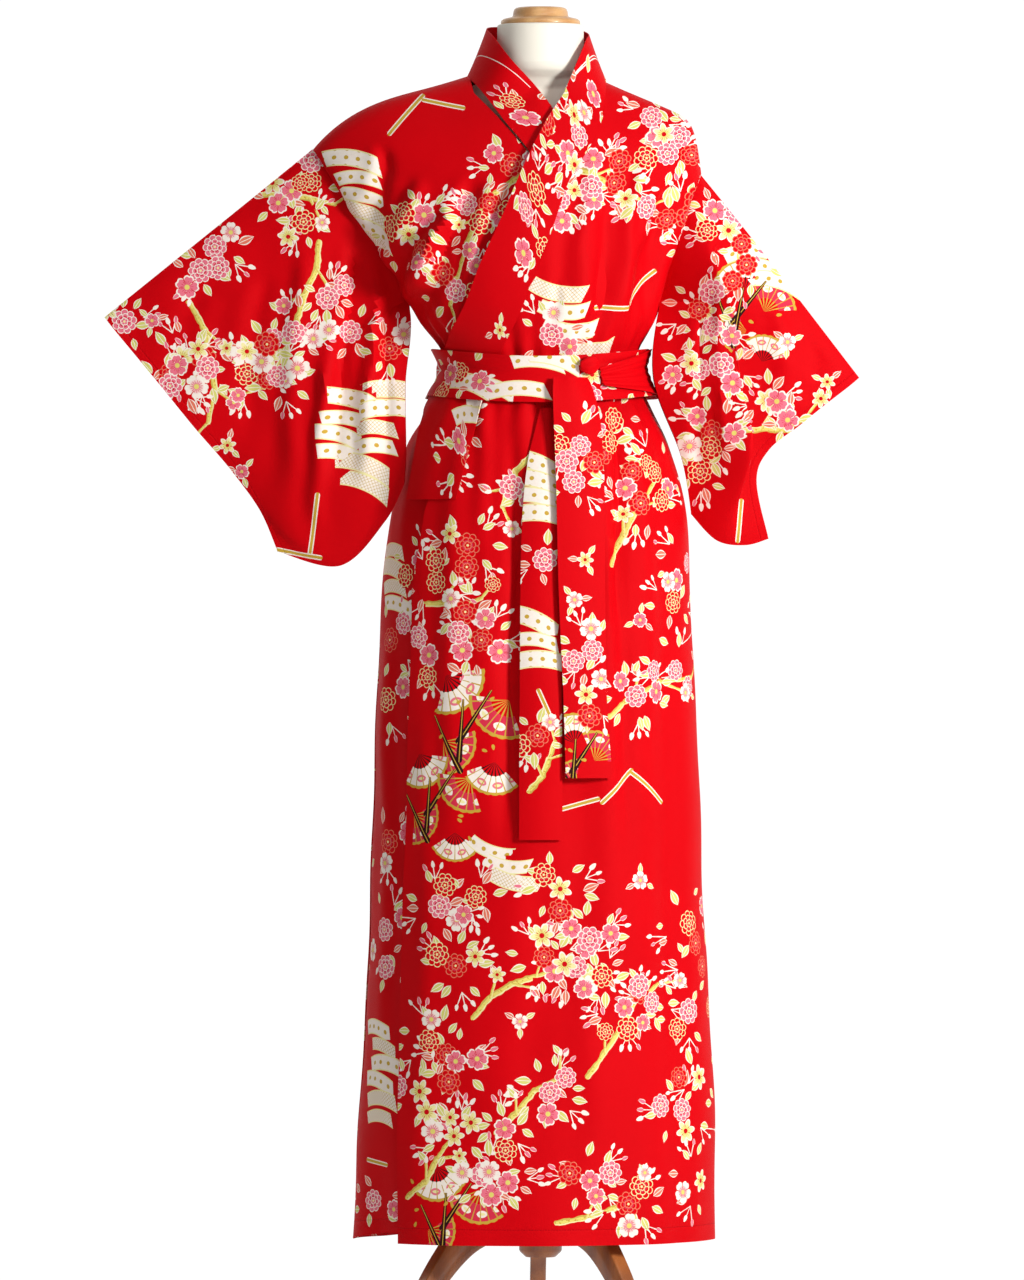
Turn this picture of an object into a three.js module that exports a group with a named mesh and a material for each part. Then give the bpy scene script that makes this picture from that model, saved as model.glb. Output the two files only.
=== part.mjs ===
// A women's yukata, tied with its own narrow belt, on a wooden tripod dress form.
// Millimetres, +Z up, the front faces -Y and the wearer's left is +X.
// Heights are measured from the floor and X from the form's pole; the last lines move the
// origin to the middle of the bounding box, on the floor.
import * as THREE from 'three';

// ---- driving dimensions -------------------------------------------------------------------
const cloth = { wall: 2.2, seam: 0.3, layer: 8.6 };
const heights = { hem: 230, armpit: 1412, beltTop: 1350 };
const collar = { lift: 3.9, wall: 2.2 };
const belt = { width: 58, wall: 2.4, lift: 16.8, fanLift: 20.9, knotLift: 24.4 };
const form = { bottom: 985, poleRadius: 15 };
const stand = { hubTop: 330, hubBottom: 215, footRadius: 285, legThick: 20,
  headings: { left: 214, right: 308, back: 91 } };

// The garment from hem to shoulder fold. height: at the centre line; left, right: how far the
// side seam or armhole lies from the pole, and at what height; front, back: depth of the
// cloth; gape: half the opening between the front and back edges there.
const levels = [
  { height: 230, left: 234, leftZ: 230, right: 218, rightZ: 230, front: 166, back: 152, gape: 0 },
  { height: 330, left: 231, leftZ: 330, right: 219, rightZ: 330, front: 163, back: 150, gape: 0 },
  { height: 430, left: 225, leftZ: 430, right: 217, rightZ: 430, front: 159, back: 148, gape: 0 },
  { height: 600, left: 216, leftZ: 600, right: 208, rightZ: 600, front: 153, back: 146, gape: 0 },
  { height: 790, left: 209, leftZ: 790, right: 200, rightZ: 790, front: 147, back: 144, gape: 0 },
  { height: 930, left: 205, leftZ: 930, right: 194, rightZ: 930, front: 142, back: 144, gape: 0 },
  { height: 1050, left: 199, leftZ: 1050, right: 188, rightZ: 1050, front: 136, back: 144, gape: 0 },
  { height: 1150, left: 186, leftZ: 1150, right: 181, rightZ: 1150, front: 130, back: 142, gape: 0 },
  { height: 1225, left: 168, leftZ: 1225, right: 163, rightZ: 1225, front: 122, back: 132, gape: 0 },
  { height: 1275, left: 136, leftZ: 1275, right: 139, rightZ: 1275, front: 108, back: 110, gape: 0 },
  { height: 1320, left: 113, leftZ: 1320, right: 115, rightZ: 1320, front: 95, back: 95, gape: 2 },
  { height: 1352, left: 122, leftZ: 1352, right: 121, rightZ: 1352, front: 99, back: 97, gape: 5 },
  { height: 1385, left: 150, leftZ: 1385, right: 143, rightZ: 1385, front: 110, back: 104, gape: 6 },
  { height: 1412, left: 167, leftZ: 1412, right: 151, rightZ: 1412, front: 116, back: 108, gape: 6 },
  { height: 1492, left: 197, leftZ: 1460, right: 160, rightZ: 1452, front: 119, back: 112, gape: 18 },
  { height: 1571, left: 228, leftZ: 1508, right: 171, rightZ: 1492, front: 104, back: 102, gape: 24 },
  { height: 1642, left: 258, leftZ: 1556, right: 186, rightZ: 1531, front: 78, back: 96, gape: 24 },
  { height: 1692, left: 276, leftZ: 1585, right: 196, rightZ: 1555, front: 46, back: 76, gape: 16 },
  { height: 1714, left: 284, leftZ: 1597, right: 200, rightZ: 1566, front: 24, back: 47, gape: 8 },
  { height: 1722, left: 287, leftZ: 1602, right: 202, rightZ: 1571, front: 0, back: 0, gape: 0 },
];
const shoulderRound = { left: 0.28, leftPower: 8, right: 0.42, rightPower: 32 };
const underHemRise = 12; // the under front's hem hangs a little higher than the rest

// Where each front ends towards the middle, as X at a height on the front.
const overEdge = [
  { z: 230, x: -174 }, { z: 430, x: -172 }, { z: 600, x: -169 }, { z: 790, x: -161 },
  { z: 930, x: -158 }, { z: 1050, x: -154 }, { z: 1150, x: -138 }, { z: 1225, x: -105 },
  { z: 1292, x: -72 }, { z: 1347, x: -52 }, { z: 1399, x: -32 }, { z: 1446, x: -18 },
  { z: 1494, x: 0 }, { z: 1556, x: 17 }, { z: 1603, x: 44 }, { z: 1656, x: 66 }, { z: 1722, x: 78 },
];
const underEdge = [
  { z: 230, x: 120 }, { z: 600, x: 112 }, { z: 930, x: 100 }, { z: 1150, x: 88 },
  { z: 1292, x: 58 }, { z: 1347, x: 50 }, { z: 1400, x: 42 }, { z: 1480, x: 30 },
  { z: 1540, x: 12 }, { z: 1595, x: -14 }, { z: 1650, x: -52 }, { z: 1695, x: -84 }, { z: 1722, x: -90 },
];

// Soft folds: angle round the body (0 front, 90 the wearer's left), how deep, how wide in
// degrees, and the heights between which they rise and fade. Skirt, then chest and back.
const softFolds = [
  { angle: -14, depth: -6, width: 9, low: 640, high: 1290 },
  { angle: 30, depth: 5, width: 10, low: 400, high: 1260 },
  { angle: 52, depth: -6, width: 9, low: 230, high: 1180 },
  { angle: -62, depth: -5, width: 9, low: 230, high: 1000 },
  { angle: 122, depth: -7, width: 9, low: 230, high: 1200 },
  { angle: 150, depth: 6, width: 10, low: 230, high: 1250 },
  { angle: -118, depth: -7, width: 9, low: 230, high: 1180 },
  { angle: -146, depth: 6, width: 10, low: 230, high: 1220 },
  { angle: -48, depth: 7, width: 10, low: 1350, high: 1530 },
  { angle: -70, depth: -6, width: 9, low: 1352, high: 1560 },
  { angle: 64, depth: -6, width: 9, low: 1352, high: 1540 },
  { angle: 140, depth: 7, width: 10, low: 1352, high: 1560 },
  { angle: -140, depth: 7, width: 10, low: 1352, high: 1560 },
];

// The collar band from its hidden end at the belt, round the neck, to the end below the belt:
// X and Z of its seam side and free side. Y is given only where the band stands off the body.
const collarRows = [
  { layer: 'under', seam: [44, 1300], edge: [98, 1296] },
  { layer: 'under', seam: [38, 1350], edge: [95, 1356] },
  { layer: 'under', seam: [30, 1420], edge: [87, 1432] },
  { layer: 'under', seam: [18, 1490], edge: [73, 1512] },
  { layer: 'under', seam: [2, 1548], edge: [52, 1582] },
  { layer: 'under', seam: [-14, 1594], edge: [30, 1628] },
  { layer: 'under', seam: [-46, 1636], edge: [-4, 1676] },
  { layer: 'under', seam: [-74, 1674], edge: [-38, 1714], edgeY: -54 },
  { layer: 'under', seam: [-91, 1697], seamY: -6, edge: [-60, 1744], edgeY: -20 },
  { layer: 'under', seam: [-86, 1704], seamY: 36, edge: [-67, 1756], edgeY: 24 },
  { layer: 'under', seam: [-52, 1707], seamY: 70, edge: [-46, 1760], edgeY: 64 },
  { layer: 'under', seam: [0, 1708], seamY: 84, edge: [0, 1761], edgeY: 80 },
  { layer: 'over', seam: [48, 1706], seamY: 70, edge: [43, 1757], edgeY: 64 },
  { layer: 'over', seam: [76, 1702], seamY: 36, edge: [60, 1749], edgeY: 26 },
  { layer: 'over', seam: [82, 1694], seamY: -6, edge: [57, 1738], edgeY: -24 },
  { layer: 'over', seam: [79, 1670], edge: [45, 1708], edgeY: -54 },
  { layer: 'over', seam: [74, 1640], edge: [28, 1672] },
  { layer: 'over', seam: [58, 1602], edge: [6, 1634] },
  { layer: 'over', seam: [32, 1556], edge: [-20, 1576] },
  { layer: 'over', seam: [12, 1494], edge: [-44, 1512] },
  { layer: 'over', seam: [-8, 1440], edge: [-67, 1452] },
  { layer: 'over', seam: [-22, 1394], edge: [-82, 1402] },
  { layer: 'over', seam: [-40, 1347], edge: [-98, 1352] },
  { layer: 'over', seam: [-56, 1294], edge: [-114, 1300] },
  { layer: 'over', seam: [-76, 1232], edge: [-134, 1238] },
  { layer: 'over', seam: [-94, 1160], edge: [-151, 1160] },
];

// Sleeves, seen from the front. down: share of the sleeve's depth below its top fold; seam,
// fold, mid, cuff: X and Z of four lines that run down it; front and back give Y there.
const leftSleeve = [
  { down: 0, seam: [-287, 1602], fold: [-374, 1531], mid: [-461, 1461], cuff: [-549, 1390],
    front: [0, 0, 0, 0], back: [0, 0, 0, 0] },
  { down: 0.07, seam: [-270, 1575], fold: [-356, 1506], mid: [-444, 1437], cuff: [-533, 1370],
    front: [-14, -10, -7, -6], back: [14, 10, 7, 6] },
  { down: 0.24, seam: [-230, 1511], fold: [-309, 1446], mid: [-402, 1378], cuff: [-489, 1317],
    front: [-24, -24, -14, -12], back: [24, 18, 14, 12] },
  { down: 0.48, seam: [-167, 1412], fold: [-262, 1360], mid: [-352, 1293], cuff: [-436, 1252],
    front: [-14, -32, -20, -11], back: [14, 16, 12, 7] },
  { down: 0.72, seam: [-170, 1305], fold: [-250, 1262], mid: [-318, 1211], cuff: [-389, 1197],
    front: [-34, -40, -26, -8], back: [-6, 8, 8, 0] },
  { down: 0.9, seam: [-169, 1222], fold: [-234, 1164], mid: [-300, 1116], cuff: [-352, 1145],
    front: [-52, -40, -26, -10], back: [-38, -10, -2, -2] },
  { down: 1, seam: [-171, 1181], fold: [-196, 1133], mid: [-252, 1078], cuff: [-331, 1096],
    front: [-60, -44, -22, -12], back: [-54, -36, -14, -6] },
];
const rightSleeve = [
  { down: 0, seam: [202, 1571], fold: [236, 1527], mid: [282, 1469], cuff: [401, 1314],
    front: [0, 0, 0, 0], back: [0, 0, 0, 0] },
  { down: 0.07, seam: [196, 1555], fold: [226, 1508], mid: [268, 1452], cuff: [388, 1303],
    front: [-14, -22, -12, -6], back: [14, 13, 10, 6] },
  { down: 0.24, seam: [177, 1508], fold: [214, 1474], mid: [228, 1440], cuff: [357, 1279],
    front: [-24, -46, -26, -12], back: [24, 22, 16, 10] },
  { down: 0.48, seam: [151, 1412], fold: [238, 1400], mid: [196, 1385], cuff: [326, 1254],
    front: [-22, -66, -26, -12], back: [16, 22, 18, 9] },
  { down: 0.72, seam: [142, 1314], fold: [250, 1306], mid: [196, 1290], cuff: [288, 1224],
    front: [-44, -66, -22, -5], back: [16, 22, 16, 5] },
  { down: 0.9, seam: [177, 1216], fold: [262, 1214], mid: [232, 1204], cuff: [272, 1186],
    front: [-18, -48, -20, -5], back: [12, 14, 12, 5] },
  { down: 1, seam: [190, 1143], fold: [222, 1110], mid: [258, 1104], cuff: [287, 1112],
    front: [-4, -5, -5, -4], back: [4, 5, 5, 4] },
];

// The belt's two hanging ends: middle line, half width and lift off the front at a height.
const upperTie = [
  { z: 1312, x: 37, half: 21, lift: 25 }, { z: 1296, x: 40, half: 25, lift: 26 },
  { z: 1258, x: 45, half: 29, lift: 21 }, { z: 1180, x: 49, half: 30, lift: 14 },
  { z: 1050, x: 51, half: 29, lift: 10 }, { z: 912, x: 55, half: 27, lift: 10 },
  { z: 812, x: 60, half: 29, lift: 11 },
];
const lowerTie = [
  { z: 1274, x: 8, half: 8, lift: 4 }, { z: 1250, x: 6, half: 12, lift: 3.4 },
  { z: 1200, x: 3, half: 20, lift: 3.2 }, { z: 1110, x: 1, half: 25, lift: 3.2 },
  { z: 920, x: 0, half: 26, lift: 3.4 }, { z: 735, x: 0, half: 27, lift: 4 },
];

// The dress form: half width and half depth at a height, and how far it leans forward.
const formRows = [
  { z: 985, wide: 160, deep: 108, fore: 0 }, { z: 1000, wide: 166, deep: 112, fore: 0 },
  { z: 1060, wide: 168, deep: 114, fore: 0 }, { z: 1150, wide: 158, deep: 112, fore: 2 },
  { z: 1235, wide: 128, deep: 94, fore: 2 }, { z: 1300, wide: 100, deep: 78, fore: 2 },
  { z: 1351, wide: 100, deep: 78, fore: 4 }, { z: 1412, wide: 124, deep: 90, fore: 6 },
  { z: 1480, wide: 134, deep: 90, fore: 6 }, { z: 1540, wide: 140, deep: 78, fore: 4 },
  { z: 1590, wide: 152, deep: 62, fore: 2 }, { z: 1625, wide: 150, deep: 46, fore: 0 },
  { z: 1656, wide: 136, deep: 40, fore: 0 }, { z: 1678.4, wide: 94, deep: 32, fore: 0 },
  { z: 1691, wide: 66, deep: 36, fore: 0 }, { z: 1701, wide: 56, deep: 50, fore: 0 },
  { z: 1710, wide: 54.5, deep: 54.5, fore: 0 },
  { z: 1757, wide: 54.5, deep: 54.5, fore: 0 }, { z: 1759, wide: 52, deep: 52, fore: 0 },
];

// ---- materials ----------------------------------------------------------------------------
const finish = (color, roughness) => new THREE.MeshStandardMaterial({ color, roughness, metalness: 0 });
const redCloth = () => finish(0xcf0f1a, 0.72);
const creamCloth = () => finish(0xe9e2d3, 0.85);
const paleWood = () => finish(0xc98a4c, 0.4);
const brownWood = () => finish(0x9a4f22, 0.35);

// ---- helpers ------------------------------------------------------------------------------
const radians = THREE.MathUtils.degToRad;
const clamp = THREE.MathUtils.clamp;

function catmull(a, b, c, d, t) {
  const bend = (2 * a - 5 * b + 4 * c - d) * t * t;
  return 0.5 * (2 * b + (c - a) * t + bend + (3 * b - a - 3 * c + d) * t * t * t);
}

// A column of a table, read smoothly at a share of the way through its rows.
function smoothRow(values, place) {
  const last = values.length - 1;
  const at = clamp(place, 0, last);
  const i = Math.min(Math.floor(at), last - 1);
  const pick = (k) => values[clamp(k, 0, last)];
  return catmull(pick(i - 1), pick(i), pick(i + 1), pick(i + 2), at - i);
}

// Straight-line reading of a table whose rows rise or fall by one key.
function readTable(rows, key, at, column) {
  const rising = rows[rows.length - 1][key] > rows[0][key];
  const inside = (i) => (rising ? rows[i + 1][key] >= at : rows[i + 1][key] <= at);
  let i = 0;
  while (i < rows.length - 2 && !inside(i)) i += 1;
  const share = clamp((at - rows[i][key]) / (rows[i + 1][key] - rows[i][key]), 0, 1);
  return THREE.MathUtils.lerp(rows[i][column], rows[i + 1][column], share);
}

// A closed wall of even thickness round a grid of points; the grid may close on itself by rows.
function wallGeometry(grid, thickness, closedRows = false) {
  const rows = grid.length;
  const columns = grid[0].length;
  const at = (i, j) => grid[closedRows ? (i + rows) % rows : clamp(i, 0, rows - 1)][clamp(j, 0, columns - 1)];
  const faces = [[], []];
  for (let i = 0; i < rows; i += 1) {
    for (let j = 0; j < columns; j += 1) {
      const alongRows = at(i + 1, j).clone().sub(at(i - 1, j));
      const acrossRow = at(i, j + 1).clone().sub(at(i, j - 1));
      const normal = alongRows.cross(acrossRow).normalize().multiplyScalar(thickness / 2);
      faces[0].push(at(i, j).clone().add(normal));
      faces[1].push(at(i, j).clone().sub(normal));
    }
  }
  const positions = [...faces[0], ...faces[1]].flatMap((p) => [p.x, p.y, p.z]);
  const index = [];
  const outer = (i, j) => (i % rows) * columns + j;
  const inner = (i, j) => rows * columns + (i % rows) * columns + j;
  const quad = (a, b, c, d) => index.push(a, b, c, a, c, d);
  const lastRow = closedRows ? rows : rows - 1;
  for (let i = 0; i < lastRow; i += 1) {
    for (let j = 0; j < columns - 1; j += 1) {
      quad(outer(i, j), outer(i + 1, j), outer(i + 1, j + 1), outer(i, j + 1));
      quad(inner(i, j), inner(i, j + 1), inner(i + 1, j + 1), inner(i + 1, j));
    }
    quad(outer(i, 0), inner(i, 0), inner(i + 1, 0), outer(i + 1, 0));
    quad(outer(i, columns - 1), outer(i + 1, columns - 1), inner(i + 1, columns - 1), inner(i, columns - 1));
  }
  if (!closedRows) {
    for (let j = 0; j < columns - 1; j += 1) {
      quad(outer(0, j), outer(0, j + 1), inner(0, j + 1), inner(0, j));
      quad(outer(rows - 1, j), inner(rows - 1, j), inner(rows - 1, j + 1), outer(rows - 1, j + 1));
    }
  }
  return closedBody(positions, index);
}

// A geometry from points and faces, turned so that its faces point out.
function closedBody(positions, index) {
  let volume = 0;
  const point = (k) => new THREE.Vector3(...positions.slice(3 * k, 3 * k + 3));
  for (let k = 0; k < index.length; k += 3) {
    volume += point(index[k]).dot(point(index[k + 1]).cross(point(index[k + 2])));
  }
  const turned = [];
  for (let k = 0; k < index.length; k += 3) {
    const [a, b, c] = index.slice(k, k + 3);
    turned.push(...(volume < 0 ? [a, c, b] : [a, b, c]));
  }
  const geometry = new THREE.BufferGeometry();
  geometry.setAttribute('position', new THREE.Float32BufferAttribute(positions, 3));
  geometry.setIndex(turned);
  return geometry;
}

// A solid lofted through rings of points, with a flat fan at each end.
function loftGeometry(rings) {
  const around = rings[0].length;
  const positions = rings.flat().flatMap((p) => [p.x, p.y, p.z]);
  const index = [];
  for (let i = 0; i < rings.length - 1; i += 1) {
    for (let j = 0; j < around; j += 1) {
      const next = (j + 1) % around;
      index.push(i * around + j, i * around + next, (i + 1) * around + next);
      index.push(i * around + j, (i + 1) * around + next, (i + 1) * around + j);
    }
  }
  [0, rings.length - 1].forEach((end, k) => {
    const centre = rings[end].reduce((sum, p) => sum.add(p), new THREE.Vector3()).divideScalar(around);
    const hub = positions.length / 3;
    positions.push(centre.x, centre.y, centre.z);
    for (let j = 0; j < around; j += 1) {
      const pair = [end * around + j, end * around + (j + 1) % around];
      index.push(hub, pair[1 - k], pair[k]);
    }
  });
  return closedBody(positions, index);
}

// ---- the form of the worn cloth -----------------------------------------------------------
function foldLift(angle, z) {
  let lift = 0;
  for (const fold of softFolds) {
    const turn = (angle - fold.angle) / fold.width;
    const span = (fold.high - fold.low) / 2;
    const rise = 1 - Math.abs(z - fold.low - span) / span;
    const hang = fold.low === heights.hem ? 1 - (z - fold.low) / (2 * span) : rise;
    lift += fold.depth * Math.exp(-turn * turn) * clamp(2 * hang, 0, 1);
  }
  return lift;
}

// A point of the cloth at a level, an angle (0 front, 90 the wearer's left, 180 back) and a lift.
function bodyPoint(level, angle, lift = 0) {
  const read = (column) => smoothRow(levels.map((row) => row[column]), level);
  const turn = radians(angle);
  const side = Math.sin(turn) < 0 ? 'left' : 'right';
  const wide = read(side);
  const share = Math.abs(Math.sin(turn));
  const round = shoulderRound[side];
  const centreZ = read('height');
  const fall = (1 - round) * share + round * share ** shoulderRound[`${side}Power`];
  const z = centreZ - (centreZ - read(`${side}Z`)) * fall;
  const facing = Math.abs(angle) <= 90 ? -1 : 1;
  const depth = Math.max(read(facing < 0 ? 'front' : 'back'), 0);
  const out = lift + foldLift(angle, z) * clamp(depth / 60, 0, 1);
  const gape = Math.max(read('gape'), 0) * share ** 6;
  const y = facing * (Math.max(depth + out * clamp(depth / 30, 0, 1), 0) * Math.abs(Math.cos(turn)) + gape);
  return new THREE.Vector3(Math.sign(Math.sin(turn)) * (wide + out) * share, y, z);
}

// The lift that keeps the over front outside the under front all the way round.
function layerLift(layer, angle) {
  const share = clamp((30 - angle) / 50, 0, 1);
  return layer === 'over' ? cloth.layer * share : -cloth.layer * (1 - share);
}

// The level at which the front passes through a height at some X.
function levelAt(x, z, layer) {
  let low = 0;
  let high = levels.length - 1;
  for (let step = 0; step < 24; step += 1) {
    const middle = (low + high) / 2;
    const point = frontPoint(middle, x, layer);
    if (point.z < z) low = middle;
    else high = middle;
  }
  return (low + high) / 2;
}

// A point of a front at a level and an X.
function frontPoint(level, x, layer, lift = 0) {
  const wide = smoothRow(levels.map((row) => row[x < 0 ? 'left' : 'right']), level);
  const angle = THREE.MathUtils.radToDeg(Math.asin(clamp(x / wide, -0.985, 0.985)));
  return bodyPoint(level, angle, layerLift(layer, angle) + lift);
}

const armpitLevel = levels.findIndex((row) => row.height === heights.armpit);
const hipLevel = armpitLevel - 5;
const levelSteps = [];
for (let i = 0; i < hipLevel; i += 1) levelSteps.push(i);
for (let i = hipLevel; i <= armpitLevel; i += 0.5) levelSteps.push(i);
for (const step of [14, 15, 16, 16.6, 17, 17.4, 17.8, 18.2, 18.6, 19]) levelSteps.push(step);

// One side of the body: front, over the shoulder without a seam, and back, in one length.
function bodySide(side) {
  const sign = side === 'left' ? -1 : 1;
  const layer = side === 'left' ? 'under' : 'over';
  const edge = side === 'left' ? underEdge : overEdge;
  const columns = 13;
  const grid = [];
  const topLevel = levels.length - 1;
  const neckLevel = topLevel - 2;
  const seamGap = THREE.MathUtils.radToDeg(cloth.seam / 190);
  for (const level of levelSteps) {
    const centre = smoothRow(levels.map((row) => row.height), level);
    const x = readTable(edge, 'z', centre, 'x');
    const across = smoothRow(levels.map((row) => row[x < 0 ? 'left' : 'right']), level);
    const inner = THREE.MathUtils.radToDeg(Math.asin(clamp(x / across, -0.97, 0.97)));
    const outer = sign * (90 - seamGap);
    const row = [];
    for (let j = 0; j <= columns; j += 1) {
      const angle = outer + ((inner - outer) * j) / columns;
      const point = bodyPoint(level, angle, layerLift(layer, angle));
      if (layer === 'under' && level === 0) point.z += underHemRise * clamp((4 * j) / columns, 0, 1);
      row.push(point);
    }
    grid.push(row);
  }
  const neckX = Math.abs(grid[grid.length - 1][columns].x);
  for (const level of [...levelSteps].reverse().slice(1)) {
    const wide = smoothRow(levels.map((row) => row[side]), level);
    const opening = neckX * clamp((level - neckLevel) / (topLevel - neckLevel), 0, 1) ** 0.7;
    const innerX = Math.max(opening, cloth.seam);
    const inner = 180 - THREE.MathUtils.radToDeg(Math.asin(innerX / wide));
    const row = [];
    for (let j = 0; j <= columns; j += 1) {
      const angle = 90 + seamGap + ((inner - 90 - seamGap) * j) / columns;
      row.push(bodyPoint(level, sign * angle, 0));
    }
    grid.push(row);
  }
  return wallGeometry(grid, cloth.wall);
}

// ---- collar -------------------------------------------------------------------------------
function collarGrid() {
  const across = [0, 1 / 3, 2 / 3, 1];
  const stepsPerRow = 3;
  const onBody = (x, z, layer) => frontPoint(levelAt(x, z, layer), x, layer, collar.lift);
  const lies = (row) => row.seamY === undefined && row.edgeY === undefined;
  const read = (name, axis, place) => smoothRow(collarRows.map((row) => row[name][axis]), place);
  const corner = (row, name) => {
    const y = row[`${name}Y`];
    const [x, z] = row[name];
    return y === undefined ? onBody(x, z, row.layer) : new THREE.Vector3(x, y, z);
  };
  const corners = collarRows.map((row) => ['seam', 'edge'].map((name) => corner(row, name)));
  const grid = [];
  for (let i = 0; i <= (collarRows.length - 1) * stepsPerRow; i += 1) {
    const place = i / stepsPerRow;
    const [before, after] = [collarRows[Math.floor(place)], collarRows[Math.ceil(place)]];
    const flat = lies(before) && lies(after);
    const ends = [0, 1].map((k) => new THREE.Vector3(...['x', 'y', 'z'].map(
      (axis) => smoothRow(corners.map((pair) => pair[k][axis]), place),
    )));
    grid.push(across.map((share) => {
      if (!flat) return ends[0].clone().lerp(ends[1], share);
      const x = THREE.MathUtils.lerp(read('seam', 0, place), read('edge', 0, place), share);
      const z = THREE.MathUtils.lerp(read('seam', 1, place), read('edge', 1, place), share);
      return onBody(x, z, before.layer);
    }));
  }
  return grid;
}

// ---- sleeves ------------------------------------------------------------------------------
const seamWidth = 1.9;

// The body's armhole edge, as a share of the way down from the shoulder, moved out by a seam.
function armholeEdge(side, facing, share) {
  const top = levels.length - 1;
  const sign = side === 'left' ? -1 : 1;
  const angle = sign * (facing === 'front' ? 89.9 : 90.1);
  const point = bodyPoint(THREE.MathUtils.lerp(top, armpitLevel, share), angle);
  const along = bodyPoint(top, angle).sub(bodyPoint(armpitLevel, angle)).setY(0).normalize();
  const out = new THREE.Vector3(sign * along.z, 0, -sign * along.x);
  return point.addScaledVector(out, cloth.seam + seamWidth);
}

function sleeveGrid(side, rows) {
  const columns = 14;
  const seamRow = 3;
  const downSteps = [0, 0.5, 1, 1.5, 2, 2.5, 3, 3.5, 4, 4.5, 5, 5.5, 6];
  const names = ['seam', 'fold', 'mid', 'cuff'];
  const layerRow = (place, facing) => {
    const line = names.map((name, k) => new THREE.Vector3(
      smoothRow(rows.map((row) => row[name][0]), place),
      smoothRow(rows.map((row) => row[facing][k]), place),
      smoothRow(rows.map((row) => row[name][1]), place),
    ));
    if (facing === 'back') {
      const [seam, cuff] = [line[0], line[3]];
      const straight = clamp(Math.min(place, 6 - place), 0, 1);
      [1, 2].forEach((k) => {
        const level = seam.clone().lerp(cuff, k / 3);
        line[k].x = THREE.MathUtils.lerp(line[k].x, level.x, straight);
        line[k].z = THREE.MathUtils.lerp(line[k].z, level.z, straight);
      });
    }
    if (place <= seamRow) line[0] = armholeEdge(side, facing, rows[0].down + place / seamRow);
    const row = [];
    for (let j = 0; j <= columns; j += 1) {
      const read = (axis) => smoothRow(line.map((p) => p[axis]), (j * 3) / columns);
      row.push(new THREE.Vector3(read('x'), read('y'), read('z')));
    }
    return row;
  };
  const front = [...downSteps].reverse().map((place) => layerRow(place, 'front'));
  const back = downSteps.slice(1).map((place) => layerRow(place, 'back'));
  return [...front, ...back];
}

// ---- belt ---------------------------------------------------------------------------------
function beltPoint(angle, share, lift) {
  const dip = Math.cos(radians(angle)) > 0 ? 11 * Math.cos(radians(angle)) ** 2 : 4;
  const z = heights.beltTop - dip - share * belt.width;
  const waist = bodyPoint(levelAt(0, z, 'over'), angle, lift);
  waist.z = z;
  return waist;
}

function beltWrapGrid() {
  const grid = [];
  const around = 44;
  for (let i = 0; i < around; i += 1) {
    const angle = -180 + (360 * i) / around;
    grid.push([0, 1 / 3, 2 / 3, 1].map((share) => beltPoint(angle, share, belt.lift)));
  }
  return grid;
}

// The fan of folds from the knot to the wearer's left side, over the wrap.
function beltFanGrid() {
  const grid = [];
  const steps = 9;
  for (let i = 0; i <= steps; i += 1) {
    const share = i / steps;
    const angle = 33 + 50 * share;
    const tight = 0.36 + 0.64 * share ** 0.8;
    grid.push([0, 1, 2, 3, 4, 5].map((k) => {
      const down = 0.5 + (k / 5 - 0.5) * tight;
      const ripple = (k % 2 ? 1.8 : 0) * (1 - 0.5 * share);
      return beltPoint(angle, down, belt.fanLift + ripple);
    }));
  }
  return grid;
}

function tieGrid(rows) {
  const grid = [];
  const steps = (rows.length - 1) * 3;
  for (let i = 0; i <= steps; i += 1) {
    const read = (column) => smoothRow(rows.map((row) => row[column]), i / 3);
    const z = read('z');
    const level = levelAt(read('x'), z, 'over');
    grid.push([-1, -0.35, 0.35, 1].map((side) => {
      const x = read('x') + side * read('half');
      const point = frontPoint(level, x, 'over', read('lift') + 1.5 * (1 - side * side));
      return new THREE.Vector3(x, point.y, z);
    }));
  }
  return grid;
}

// The knot: a soft pinched loop of the belt above the upper end.
function knotGeometry() {
  const rings = [];
  const steps = 8;
  const around = 10;
  for (let i = 0; i <= steps; i += 1) {
    const share = i / steps;
    const angle = 21 + 10.5 * share;
    const swell = Math.sin(Math.PI * (0.14 + 0.72 * share));
    const ring = [];
    for (let j = 0; j < around; j += 1) {
      const turn = (2 * Math.PI * j) / around;
      const down = 0.24 + 0.2 * swell * Math.sin(turn);
      ring.push(beltPoint(angle, down, belt.knotLift + 5.5 * swell * Math.cos(turn)));
    }
    rings.push(ring);
  }
  return loftGeometry(rings);
}

// ---- dress form and stand -----------------------------------------------------------------
function formGeometry() {
  const around = 24;
  return loftGeometry(formRows.map((row) => {
    const ring = [];
    for (let j = 0; j < around; j += 1) {
      const turn = (2 * Math.PI * j) / around;
      ring.push(new THREE.Vector3(row.wide * Math.sin(turn), -row.deep * Math.cos(turn) - row.fore, row.z));
    }
    return ring;
  }));
}

function turnedGeometry(profile, segments) {
  const geometry = new THREE.LatheGeometry(profile.map(([r, z]) => new THREE.Vector2(r, z)), segments);
  geometry.rotateX(Math.PI / 2);
  return geometry;
}

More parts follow.
